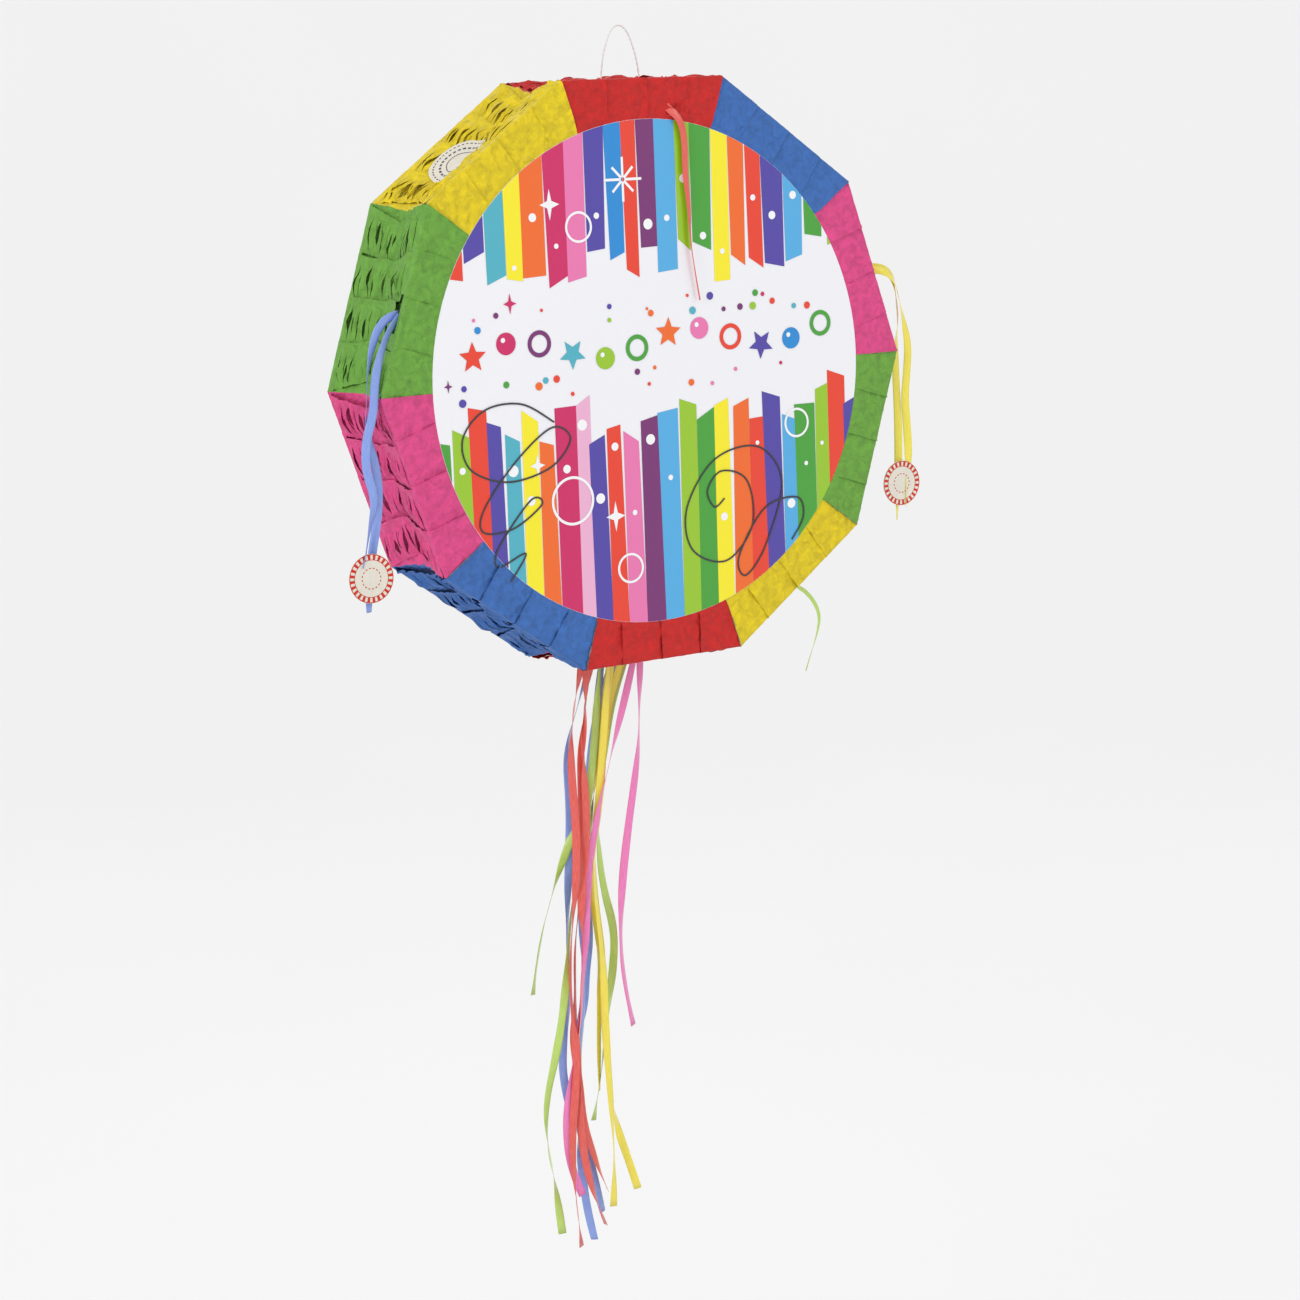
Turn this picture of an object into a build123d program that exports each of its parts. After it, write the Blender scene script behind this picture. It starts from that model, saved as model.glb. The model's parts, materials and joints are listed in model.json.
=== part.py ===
"""Ten-sided party pinata that pops open and folds flat, hung from a string loop.

Millimetres. +X is right and +Y is back, seen from the front, and +Z is up.
The origin is the top of the hanging loop. Every side of the drum is two card
halves creased at mid depth, so the boards can close on each other. Two braces
inside stand between the boards and lock the drum open.
"""
from build123d import *
import os
from math import cos, radians, sin, tan

# --- the drum -----------------------------------------------------------------
side_count = 10
across_flats = 450.0
outer_depth = 90.0
board_thickness = 3.0
board_overhang = 3.0        # how far a board's edge stands proud of the sides
centre_drop = 267.0         # from the top of the loop down to the drum's centre
loop_offset = 8.0           # the loop sits this far right of the drum's centre
print_radius = 195.0
print_thickness = 0.4

# --- the folding sides ----------------------------------------------------------
side_card = 1.2
rest_incline = 10.0         # each half leans in by this much when the drum is open
folded_incline = 70.0       # and by this much when the drum is folded
running_gap = 0.3
crease_gap = 0.15
corner_gap = 0.5            # from a half's slanted end to the plane between two sides

# --- the braces that lock the drum open -------------------------------------------
brace_card = 1.2
brace_width = 120.0
brace_place = 150.0         # left and right of the drum's centre
brace_rise = 67.0           # above the drum's centre, level with the ribbon slits
brace_hinge_gap = 0.9
brace_tip_gap = 2.3         # from a raised brace to the front board
flange_card = 1.2
flange_length = 22.0
stop_thickness = 3.0
stop_height = 7.0
stop_gap = 0.5

# --- the drop door and the tail under the drum ----------------------------------------
door_width = 90.0
door_hinge_reach = 9.0      # from the front board's edge of the bottom front half
door_tip_setback = 8.1      # from the crease back to the door's free edge
knot_setback = 4.6          # from the crease back to the knots in the bottom rear half
knot_radius = 2.2
knot_places = (-52, -43, -35, -27, -19, -10, -1)

# --- the fill hole and its label ----------------------------------------------------
fill_hole_radius = 20.0
fill_offset = 12.0
label_radius = 26.0
label_thickness = 0.3
label_crease_gap = 1.0

# --- loop, ribbons and tags -----------------------------------------------------------
loop_string_radius = 0.6
loop_foot = 18.5
loop_notch_radius = 3.0
toggle_radius = 2.5
toggle_length = 60.0
ribbon_radius = 0.5         # a round section as large as a flat curling ribbon's
slit_length = 34.0
slit_depth = 6.0
slit_reach = 3.2
pull_knot_radius = 2.4
left_slit_offset = 10.0
right_slit_offset = 0.0
tag_radius = 18.5
tag_thickness = 0.6

centre_x = -loop_offset
centre_z = -centre_drop
half_turn = 180.0 / side_count
inner_y = outer_depth / 2 - board_thickness
hinge_y = inner_y - running_gap
hinge_radius = across_flats / 2 - board_overhang - side_card
half_length = (hinge_y - side_card * sin(radians(rest_incline))) / cos(radians(rest_incline))
crease_radius = (
    hinge_radius
    - half_length * sin(radians(rest_incline))
    + side_card * cos(radians(rest_incline))
)
crease_inside = crease_radius - side_card / cos(radians(rest_incline))
brace_height = 2 * inner_y - brace_hinge_gap - brace_tip_gap
door_tip_reach = half_length - door_tip_setback
knot_reach = half_length - knot_setback

# Clockwise from the top, as seen from the front.
side_angles = [90.0 - 2 * half_turn * number for number in range(side_count)]
top_side, bottom_side, left_slit_side, right_slit_side, fill_side = 0, 5, 8, 2, 9


def outward(angle):
    return Vector(cos(radians(angle)), 0, sin(radians(angle)))


def along(angle):
    return Vector(-sin(radians(angle)), 0, cos(radians(angle)))


def drum_point(angle, radius, offset=0.0, y=0.0):
    """A point at a radius from the drum's axis, moved along a side by an offset."""
    place = outward(angle) * radius + along(angle) * offset
    return Vector(centre_x + place.X, y, centre_z + place.Z)


def half_plane(angle, rear):
    """A half's own plane: origin on its hinge, X along it, Y to the crease, Z outward."""
    side = 1 if rear else -1
    origin = drum_point(angle, hinge_radius, y=side * hinge_y)
    lean = radians(rest_incline)
    normal = outward(angle) * cos(lean) - Vector(0, side * sin(lean), 0)
    return Plane(origin=origin, x_dir=along(angle) * side, z_dir=normal)


def half_width(reach):
    """Half the width of a side at a reach from its hinge, clear of its folded neighbour."""
    folded_radius = hinge_radius - reach * sin(radians(folded_incline))
    return folded_radius * tan(radians(half_turn)) - corner_gap


def side_half(angle, rear):
    crease_edge = half_length - crease_gap
    wide, narrow = half_width(0), half_width(crease_edge)
    outline = Polyline(
        (-wide, 0), (wide, 0), (narrow, crease_edge), (-narrow, crease_edge), close=True
    )
    return half_plane(angle, rear) * extrude(make_face(outline), side_card)


def board(front):
    plate_radius = across_flats / 2 / cos(radians(half_turn))
    outline = RegularPolygon(plate_radius, side_count)
    y_face = -inner_y if front else outer_depth / 2
    plane = Plane(origin=(centre_x, y_face, centre_z), x_dir=(1, 0, 0), z_dir=(0, -1, 0))
    return plane * extrude(outline, board_thickness)


def print_disc(front):
    y_face = -outer_depth / 2 if front else outer_depth / 2 + print_thickness
    plane = Plane(origin=(centre_x, y_face, centre_z), x_dir=(1, 0, 0), z_dir=(0, -1, 0))
    return plane * extrude(Circle(print_radius), print_thickness)


# --- the sides, their cut-outs and the fill label ----------------------------------------
def slit_cut(angle, offset):
    """The slit that a pull ribbon leaves by, open at the front board's edge of the half."""
    centre = Pos(-offset, slit_depth / 2 - running_gap, side_card / 2)
    return half_plane(angle, False) * centre * Box(slit_length, slit_depth + 2 * running_gap, 4 * side_card)


def fill_hole_cut():
    angle = side_angles[fill_side]
    plane = Plane(origin=drum_point(angle, crease_radius, fill_offset), z_dir=outward(angle))
    return plane * Cylinder(fill_hole_radius, 20)


def loop_notches():
    level = centre_z + crease_radius
    return Compound([
        Pos(side * loop_foot, 0, level) * Cylinder(loop_notch_radius, 12) for side in (-1, 1)
    ])


def fill_label(rear):
    """Half of the round paper label that covers the fill hole, on its side of the crease."""
    side = 1 if rear else -1
    disc = Pos(side * fill_offset, half_length, 0) * Circle(label_radius)
    keep = Pos(side * fill_offset, half_length - label_crease_gap - label_radius, 0) * Rectangle(
        4 * label_radius, 2 * label_radius
    )
    lifted = Pos(0, 0, side_card) * extrude(disc & keep, label_thickness)
    return half_plane(side_angles[fill_side], rear) * lifted


# --- the drop door and the knots -----------------------------------------------------------
def door_opening():
    start = door_hinge_reach - running_gap
    end = door_tip_reach + running_gap
    cut = Box(door_width + 2 * running_gap, end - start, 4 * side_card)
    return half_plane(side_angles[bottom_side], False) * Pos(0, (start + end) / 2, side_card / 2) * cut


def trap_door():
    """A flap in the bottom front half that drops about its front edge."""
    reach = door_tip_reach - door_hinge_reach
    middle = Pos(0, door_hinge_reach + reach / 2, side_card / 2)
    return half_plane(side_angles[bottom_side], False) * middle * Box(door_width, reach, side_card)


def knot_centres():
    plane = half_plane(side_angles[bottom_side], True)
    level = plane.from_local_coords(Vector(0, knot_reach, side_card / 2))
    return [Vector(place, level.Y, level.Z) for place in knot_places]


def knot_holes():
    normal = half_plane(side_angles[bottom_side], True).z_dir
    return [
        Plane(origin=centre, z_dir=normal) * Cylinder(knot_radius + running_gap, 12)
        for centre in knot_centres()
    ]


def ribbon_knots():
    return Compound([Pos(centre) * Sphere(knot_radius) for centre in knot_centres()])


# --- the braces ---------------------------------------------------------------------------
def brace_centre(side):
    return centre_x + side * brace_place, centre_z + brace_rise


def brace(side):
    """Stands from the crease of its flange towards the front board."""
    x, z = brace_centre(side)
    hinge = inner_y - brace_hinge_gap
    return Pos(x, hinge - brace_height / 2, z) * Box(brace_card, brace_height, brace_width)


def brace_flange(side):
    """The glued foot of a brace, on the back board just outboard of the crease."""
    x, z = brace_centre(side)
    inboard = brace_card / 2 + running_gap
    return Pos(x + side * (inboard + flange_length / 2), inner_y - flange_card / 2, z) * Box(
        flange_length, flange_card, brace_width
    )


def lock_stop(side):
    """The ridge on the front board that a raised brace's tip bears on."""
    x, z = brace_centre(side)
    inboard = brace_card / 2 + stop_gap
    return Pos(x + side * (inboard + stop_thickness / 2), -inner_y + stop_height / 2, z) * Box(
        stop_thickness, stop_height, brace_width
    )


# --- cords ---------------------------------------------------------------------------------
def cord_tube(name, points, radius):
    """A tube along straight runs joined by tangent arcs as large as the runs allow."""
    stops = [Vector(*point) for point in points]
    runs = [b - a for a, b in zip(stops, stops[1:])]
    bends = []
    for before, after in zip(runs, runs[1:]):
        turn = before.get_angle(after)
        bends.append(0.45 * min(before.length, after.length) / tan(radians(turn / 2)))
    path = FilletPolyline(*stops, radius=bends)
    section = Plane(origin=path @ 0, z_dir=path % 0) * Circle(radius)
    tube = sweep(section, path=path)
    expected = path.length * 3.14159265 * radius ** 2
    print(
        f"{name}: length {path.length:.0f}, smallest bend radius {min(bends):.1f},"
        f" volume over section times length {tube.volume / expected:.4f}"
    )
    return tube


# The loop, up from the toggle through one notch and back down through the other.
toggle_level = centre_z + crease_inside - running_gap - toggle_radius
loop_route = [
    (-loop_foot, 0, toggle_level + toggle_radius), (-17.5, 0, -36), (-13.5, 0, -17), (-5.5, 0, 0),
    (5.5, 0, 0), (13.5, 0, -17), (17.5, 0, -36), (loop_foot, 0, toggle_level + toggle_radius),
]

# The two strands of each pull ribbon, down from their slit.
left_pull_routes = {
    "left_pull_ribbon_a": [
        (-224, -37.5, -207), (-232, -37.5, -208), (-240, -36, -215), (-246, -36, -227),
        (-251, -36, -246), (-254, -36, -268), (-255, -36, -292), (-249, -36, -315),
        (-247, -36, -336), (-250, -36, -358), (-256, -36, -383), (-260, -36, -405),
        (-261, -36, -426),
    ],
    "left_pull_ribbon_b": [
        (-224, -39.5, -208), (-229, -39.5, -213), (-236, -39.5, -222), (-243, -39.5, -238),
        (-248, -39.5, -256), (-250, -39.5, -278), (-258, -39.5, -299), (-259, -39.5, -320),
        (-252, -39.5, -342), (-259, -39.5, -364), (-265, -39.5, -392),
    ],
}
right_pull_routes = {
    "right_pull_ribbon_a": [
        (205, -37.5, -198), (213, -37.5, -198), (224, -36, -200), (233, -36, -207),
        (236, -36, -222), (238, -36, -241), (235, -36, -261), (234, -36, -285),
        (235, -36, -311), (235.5, -36, -343), (234, -36, -377), (232, -36, -408),
    ],
    "right_pull_ribbon_b": [
        (205, -39.5, -199), (214, -39.5, -200), (225, -39.5, -203), (233, -39.5, -212),
        (237, -39.5, -227), (241, -39.5, -244), (245, -39.5, -264), (243, -39.5, -285),
        (240, -39.5, -307), (242, -39.5, -333), (243, -39.5, -356), (240, -39.5, -380),
        (239, -39.5, -397),
    ],
}
left_tag_centre = (-260, -400)
right_tag_centre = (234, -377)

# The short streamer on the front, and the loose ribbon at the lower right.
streamer_route = [
    (12, -45.6, -62), (14, -47.4, -66), (19, -49, -70), (24, -49, -78), (26, -49, -93),
    (25, -49, -114), (28, -49, -140), (28, -49, -166), (31, -49, -189), (35, -49, -213),
]
loose_route = [
    (123.5, -41.6, -448), (126, -39, -450), (130, -37, -453), (137, -36, -457), (146, -36, -467),
    (151, -36, -480), (147, -36, -495), (141, -36, -508), (135, -36, -523),
]

# The tail, each ribbon down from its knot in a layer of its own.
tail_routes = {
    "tail_red_a": [
        (-52.9, 2.9, -484.4), (-59, 0, -504), (-67, -2, -528), (-73, -4, -560), (-73, -4, -592),
        (-71, -4, -630), (-73, -4, -671), (-78, -4, -703), (-82, -4, -735), (-83, -4, -769),
        (-80, -4, -803), (-81, -4, -836), (-87, -4, -877), (-88, -4, -920), (-83, -4, -978),
    ],
    "tail_red_b": [
        (-51.1, 2.9, -484.4), (-53, 0.7, -504), (-57, -2.4, -534), (-61, -2.4, -574), (-60, -2.4, -607),
        (-62, -2.4, -648), (-69, -2.4, -688), (-68, -2.4, -721), (-72, -2.4, -754), (-74, -2.4, -788),
        (-79, -2.4, -820), (-79, -2.4, -854), (-77, -2.4, -897), (-70, -2.4, -933), (-58, -2.4, -966),
    ],
    "tail_red_c": [
        (-43.9, 2.9, -484.4), (-48, 2.7, -504), (-54, 2.6, -530), (-60, 2.4, -562), (-61, 2.4, -604),
        (-62, 2.4, -649), (-67, 2.4, -689), (-74, 2.4, -730), (-75, 2.4, -771), (-79, 2.4, -804),
        (-75, 2.4, -839), (-73, 2.4, -873), (-66, 2.4, -901), (-52, 2.4, -939),
    ],
    "tail_blue_a": [
        (-42.1, 2.9, -484.4), (-46, 8.7, -504), (-54, 16.8, -537), (-66, 16.8, -568), (-64, 16.8, -612),
        (-66, 16.8, -651), (-70, 16.8, -692), (-72, 16.8, -733), (-71, 16.8, -776), (-80, 16.8, -808),
        (-82, 16.8, -841), (-76, 16.8, -868),
    ],
    "tail_lime_b": [
        (-35.9, 2.9, -484.4), (-38, 4, -504), (-41, 5.6, -530), (-45, 5.6, -566), (-52, 5.6, -604),
        (-63, 5.6, -649), (-72, 5.6, -689), (-78, 5.6, -730), (-83, 5.6, -771), (-92, 5.6, -811),
        (-106, 5.6, -855), (-105, 5.6, -893), (-99, 5.6, -928), (-95, 5.6, -967),
    ],
    "tail_blue_c": [
        (-34.1, 2.9, -484.4), (-36.4, 5.4, -504), (-39, 8.8, -532), (-46, 8.8, -571), (-53, 8.8, -615),
        (-59, 8.8, -660), (-62, 8.8, -709), (-61, 8.8, -755), (-66, 8.8, -800), (-72, 8.8, -841),
        (-69, 8.8, -885), (-62, 8.8, -921), (-54, 8.8, -959),
    ],
    "tail_yellow_a": [
        (-27.9, 2.9, -484.4), (-31, 2, -504), (-35, 1.2, -528), (-40, 0.8, -566), (-45, 0.8, -606),
        (-53, 0.8, -647), (-53, 0.8, -686), (-50, 0.8, -718), (-48, 0.8, -751), (-49, 0.8, -785),
        (-48, 0.8, -827), (-46, 0.8, -871), (-45, 0.8, -914), (-48, 0.8, -953),
    ],
    "tail_yellow_c": [
        (-26.1, 2.9, -484.4), (-28, 4.7, -504), (-32, 7.2, -530), (-37, 7.2, -562), (-45, 7.2, -596),
        (-52, 7.2, -635), (-53, 7.2, -676), (-48, 7.2, -719), (-44, 7.2, -762), (-45, 7.2, -813),
        (-43, 7.2, -856), (-37, 7.2, -892), (-28, 7.2, -919), (-20, 7.2, -946),
    ],
    "tail_blue_b": [
        (-19.9, 2.9, -484.4), (-25, 7.4, -504), (-33, 13.6, -531), (-42, 13.6, -563), (-48, 13.6, -600),
        (-51, 13.6, -648), (-50, 13.6, -695), (-54, 13.6, -736), (-59, 13.6, -777), (-69, 13.6, -808),
        (-74, 13.6, -850), (-72, 13.6, -890), (-69, 13.6, -925), (-66, 13.6, -956), (-60, 13.6, -983),
    ],
    "tail_lime_a": [
        (-18.1, 2.9, -484.4), (-22, 8, -503), (-30, 15.2, -531), (-39, 15.2, -566), (-49, 15.2, -600),
        (-63, 15.2, -637), (-81, 15.2, -673), (-100, 15.2, -724), (-107, 15.2, -764),
    ],
    "tail_yellow_b": [
        (-10.9, 2.9, -484.4), (-18, 6, -504), (-27, 10.4, -530), (-33, 10.4, -566), (-42, 10.4, -608),
        (-49, 10.4, -652), (-47, 10.4, -706), (-43, 10.4, -746), (-47, 10.4, -779), (-50, 10.4, -812),
        (-51, 10.4, -855),
    ],
    "tail_lime_c": [
        (-9.1, 2.9, -484.4), (-15, 6.7, -504), (-23, 12, -532), (-31, 12, -564), (-38, 12, -605),
        (-42, 12, -645), (-39, 12, -685), (-29, 12, -724), (-33, 12, -760), (-41, 12, -800),
        (-47, 12, -840), (-57, 12, -880),
    ],
    "tail_pink_a": [
        (-1.9, 2.9, -484.4), (-9, 1.3, -504), (-18, -0.8, -528), (-29, -0.8, -560), (-41, -0.8, -596),
        (-54, -0.8, -640), (-62, -0.8, -681), (-64, -0.8, -714), (-69, -0.8, -755), (-75, -0.8, -800),
        (-86, -0.8, -841), (-91, -0.8, -877), (-88, -0.8, -912), (-78, -0.8, -936),
    ],
    "tail_pink_b": [
        (-0.1, 2.9, -484.4), (-0.3, 3.4, -504), (-2, 4, -535), (-4, 4, -569), (-10, 4, -602),
        (-18, 4, -640), (-25, 4, -680), (-29, 4, -722), (-28, 4, -764), (-20, 4, -804),
    ],
}


def hanger_toggle():
    return Pos(0, 0, toggle_level) * Rot(0, 90, 0) * Cylinder(toggle_radius, toggle_length)


def pull_knot(side_number, offset):
    """The knot that holds two strands in their slit, and what they swing about."""
    plane = half_plane(side_angles[side_number], False)
    return plane * Pos(-offset, slit_reach, side_card / 2) * Sphere(pull_knot_radius)


def tag(centre, strand_front_y):
    """A paper disc glued in front of the strands of a pull ribbon."""
    y_back = strand_front_y - running_gap
    plane = Plane(origin=(centre[0], y_back, centre[1]), x_dir=(1, 0, 0), z_dir=(0, -1, 0))
    return plane * extrude(Circle(tag_radius), tag_thickness)


def main():
    nodes = {
        "back_board": board(front=False),
        "front_board": board(front=True),
        "back_print": print_disc(front=False),
        "front_print": print_disc(front=True),
        "trap_door": trap_door(),
        "ribbon_knots": ribbon_knots(),
        "fill_label_rear": fill_label(rear=True),
        "fill_label_front": fill_label(rear=False),
        "hanger_cord": cord_tube("hanger_cord", loop_route, loop_string_radius),
        "hanger_toggle": hanger_toggle(),
        "front_streamer": cord_tube("front_streamer", streamer_route, ribbon_radius),
        "loose_ribbon": cord_tube("loose_ribbon", loose_route, ribbon_radius),
    }
    cuts = {
        (top_side, True): [loop_notches()],
        (top_side, False): [loop_notches()],
        (bottom_side, True): knot_holes(),
        (bottom_side, False): [door_opening()],
        (fill_side, True): [fill_hole_cut()],
        (fill_side, False): [fill_hole_cut()],
        (left_slit_side, False): [slit_cut(side_angles[left_slit_side], left_slit_offset)],
        (right_slit_side, False): [slit_cut(side_angles[right_slit_side], right_slit_offset)],
    }
    for number, angle in enumerate(side_angles):
        for rear in (True, False):
            half = side_half(angle, rear)
            for cut in cuts.get((number, rear), []):
                half -= cut
            word = "rear" if rear else "front"
            nodes[f"side_{number + 1:02d}_{word}_half"] = half
    for word, side in (("left", -1), ("right", 1)):
        nodes[f"{word}_brace"] = brace(side)
        nodes[f"{word}_brace_flange"] = brace_flange(side)
        nodes[f"{word}_lock_stop"] = lock_stop(side)
    for routes in (left_pull_routes, right_pull_routes, tail_routes):
        for name, route in routes.items():
            nodes[name] = cord_tube(name, route, ribbon_radius)
    strand_front = min(point[1] for point in left_pull_routes["left_pull_ribbon_b"]) - ribbon_radius
    nodes["left_tag"] = tag(left_tag_centre, strand_front)
    nodes["right_tag"] = tag(right_tag_centre, strand_front)
    nodes["left_pull_knot"] = pull_knot(left_slit_side, left_slit_offset)
    nodes["right_pull_knot"] = pull_knot(right_slit_side, right_slit_offset)

    os.makedirs("parts", exist_ok=True)
    for name, solid in nodes.items():
        export_step(solid, f"parts/{name}.step")
    print(len(nodes), "nodes")


main()
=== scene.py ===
"""The looks of a ten-sided party pinata that pops open and folds flat.

Laid out as an add-on: sizes and colours in property groups, one operator for
each group of pieces, and a panel that lists them. Metres throughout. Y runs
from the printed front, at the low end, to the back.
"""
import json
from math import atan2, cos, exp, pi, radians, sin, sqrt, tan
from random import Random

import bmesh
import bpy
from bpy.props import FloatProperty, FloatVectorProperty, PointerProperty
from mathutils import Matrix, Vector, noise


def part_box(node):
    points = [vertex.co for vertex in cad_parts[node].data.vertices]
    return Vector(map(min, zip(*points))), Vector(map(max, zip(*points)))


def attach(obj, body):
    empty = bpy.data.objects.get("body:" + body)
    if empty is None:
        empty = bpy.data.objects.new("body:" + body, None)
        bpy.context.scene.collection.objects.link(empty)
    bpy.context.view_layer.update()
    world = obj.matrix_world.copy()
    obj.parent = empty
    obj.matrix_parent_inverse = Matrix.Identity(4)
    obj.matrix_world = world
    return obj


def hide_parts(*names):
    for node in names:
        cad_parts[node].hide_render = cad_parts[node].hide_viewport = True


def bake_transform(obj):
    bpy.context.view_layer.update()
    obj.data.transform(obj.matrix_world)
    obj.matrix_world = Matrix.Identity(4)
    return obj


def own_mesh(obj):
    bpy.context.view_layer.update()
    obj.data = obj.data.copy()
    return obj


bl_info = {
    "name": "Fold-flat pinata",
    "version": (1, 0, 0),
    "blender": (4, 5, 0),
    "location": "3D View > Sidebar > Pinata",
    "description": "Tissue, printed faces, ribbons and tags of a ten-sided pinata",
    "category": "Object",
}

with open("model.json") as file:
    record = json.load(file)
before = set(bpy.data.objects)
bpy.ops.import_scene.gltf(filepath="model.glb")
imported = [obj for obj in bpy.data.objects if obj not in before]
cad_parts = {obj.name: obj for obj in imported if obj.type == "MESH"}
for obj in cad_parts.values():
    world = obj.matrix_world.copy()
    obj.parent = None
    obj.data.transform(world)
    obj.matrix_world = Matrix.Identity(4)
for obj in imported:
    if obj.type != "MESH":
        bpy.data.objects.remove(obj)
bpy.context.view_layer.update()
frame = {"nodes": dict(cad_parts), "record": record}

# --- places read from the frame -----------------------------------------------------
MM = 0.001
SIDE_COUNT = 10
HALF_TURN = pi / SIDE_COUNT
SIDE_COLOURS = ("red", "blue", "pink", "green", "yellow") * 2
BOARD_LOW, BOARD_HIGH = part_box("back_board")
CENTRE_X = (BOARD_LOW.x + BOARD_HIGH.x) / 2
CENTRE_Z = (BOARD_LOW.z + BOARD_HIGH.z) / 2
BOARD_EDGE = (BOARD_HIGH.z - BOARD_LOW.z) / 2
FRONT_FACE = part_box("front_board")[0].y
INNER_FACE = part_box("back_board")[0].y
TOP_HALF_LOW, TOP_HALF_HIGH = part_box("side_01_rear_half")
RIM_SINK = 0.2 * MM           # how far the rim tissue starts below the boards' edges
HINGE_RADIUS = TOP_HALF_HIGH.z - CENTRE_Z
CARD = 1.2 * MM
CREASE_RADIUS = TOP_HALF_LOW.z - CENTRE_Z + CARD
RIM_HALF_WIDTH = (TOP_HALF_HIGH.x - TOP_HALF_LOW.x) / 2
RIM_Y = TOP_HALF_HIGH.y
DISC_RADIUS = (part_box("front_print")[1].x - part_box("front_print")[0].x) / 2
DISC_FACE = -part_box("front_print")[0].y
FOLD_LEAN = radians(70)
LEFT_SLIT = (8, 10 * MM)      # side number from the top, and place along that side
RIGHT_SLIT = (2, 0.0)
LABEL_SIDE, LABEL_PLACE, LABEL_RADIUS = 9, 12 * MM, 26 * MM
LABEL_LIFT = 1.7 * MM
DOOR_SIDE = 5
DOOR_LOW, DOOR_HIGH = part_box("trap_door")


def side_name(number):
    """The name that a side's pieces and bodies start with."""
    return f"side_{number + 1:02d}"


def tissue_slot(number):
    return f"tissue_{SIDE_COLOURS[number]}"


def side_angle(number):
    """The direction that a side faces, counted clockwise from the top."""
    return pi / 2 - 2 * HALF_TURN * number


def on_drum(angle, radius, along, y):
    """A point at a radius from the drum's axis, moved along a side."""
    x = CENTRE_X + radius * cos(angle) - along * sin(angle)
    z = CENTRE_Z + radius * sin(angle) + along * cos(angle)
    return Vector((x, y, z))


def smooth(low, high, value):
    """Nothing up to low, one from high on, and a soft step between them."""
    share = min(max((value - low) / (high - low), 0.0), 1.0)
    return share * share * (3 - 2 * share)


def swell(value, start=0.0, end=1.0):
    """A hump that is nothing at start and end and one half way between."""
    if not start < value < end:
        return 0.0
    return sin(pi * (value - start) / (end - start))


def crumple(point, scale, seed=0.0):
    """Smooth noise about nothing, with features of about one over scale."""
    return noise.noise(point * scale + Vector((seed, 2.3 * seed, -seed)))


def crease_ridge(point, scale, seed=0.0):
    """A crumpled height with sharp creases, from 0 to about 1."""
    broad = 1.0 - 2.2 * abs(crumple(point, scale, seed))
    small = 1.0 - 2.2 * abs(crumple(point, 2.3 * scale, seed + 7.0))
    return max(0.0, 0.7 * broad + 0.3 * small) ** 1.6


def rim_radius(y):
    """Where tissue lies on the rim: level with the boards' edges, in a V at mid depth."""
    share = min(abs(y) / RIM_Y, 1.0)
    return CREASE_RADIUS + (BOARD_EDGE - RIM_SINK - CREASE_RADIUS) * share


def half_width(y):
    """Half the width of a folding side, which narrows to clear its folded neighbour."""
    reach = RIM_Y - min(abs(y), RIM_Y)
    return RIM_HALF_WIDTH - reach * sin(FOLD_LEAN) * tan(HALF_TURN)


# --- meshes ---------------------------------------------------------------------------
def new_piece(name, points, faces, finish, smooth_shading=True):
    """A mesh object in the scene, with its material."""
    mesh = bpy.data.meshes.new(name)
    mesh.from_pydata([tuple(point) for point in points], [], faces)
    mesh.validate()
    if smooth_shading:
        mesh.polygons.foreach_set("use_smooth", [True] * len(mesh.polygons))
    mesh.materials.append(finish)
    piece = bpy.data.objects.new(name, mesh)
    bpy.context.scene.collection.objects.link(piece)
    return piece


def drop_loose_points(piece):
    """Deletes the vertices that no face of a mesh uses."""
    shape = bmesh.new()
    shape.from_mesh(piece.data)
    loose = [vertex for vertex in shape.verts if not vertex.link_faces]
    bmesh.ops.delete(shape, geom=loose, context="VERTS")
    shape.to_mesh(piece.data)
    shape.free()


class Sheet:
    """Collects vertices and faces for one mesh."""

    def __init__(self):
        self.points = []
        self.faces = []

    def add(self, point):
        self.points.append(point)
        return len(self.points) - 1

    def grid(self, columns, rows, place, flipped=False):
        """A sheet of columns by rows cells, where place(u, v) runs from 0 to 1 each way."""
        ring = [
            [self.add(place(i / columns, j / rows)) for j in range(rows + 1)]
            for i in range(columns + 1)
        ]
        for i in range(columns):
            for j in range(rows):
                face = (ring[i][j], ring[i + 1][j], ring[i + 1][j + 1], ring[i][j + 1])
                self.faces.append(tuple(reversed(face)) if flipped else face)

    def skin(self, rings):
        """Closed rings of points joined into a tube with capped ends."""
        count = len(rings[0])
        for near, far in zip(rings, rings[1:]):
            for k in range(count):
                following = (k + 1) % count
                self.faces.append((near[k], near[following], far[following], far[k]))
        self.faces.append(tuple(reversed(rings[0])))
        self.faces.append(tuple(rings[-1]))


def sheet_piece(name, sheet, finish):
    """A piece from a sheet, in a named finish."""
    return new_piece(name, sheet.points, sheet.faces, finishes[finish])


def blend_at_crease(piece):
    """Bakes a piece's placement into its mesh, without bending it at the crease."""
    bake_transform(piece)


# --- finishes ---------------------------------------------------------------------------
def group(name, inputs, outputs):
    """An empty shader node group with named inputs and outputs."""
    tree = bpy.data.node_groups.new(name, "ShaderNodeTree")
    for label, kind, value in inputs:
        socket = tree.interface.new_socket(label, in_out="INPUT", socket_type=kind)
        if value is not None:
            socket.default_value = value
    for label, kind in outputs:
        tree.interface.new_socket(label, in_out="OUTPUT", socket_type=kind)
    return tree, tree.nodes.new("NodeGroupInput"), tree.nodes.new("NodeGroupOutput")


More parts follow.
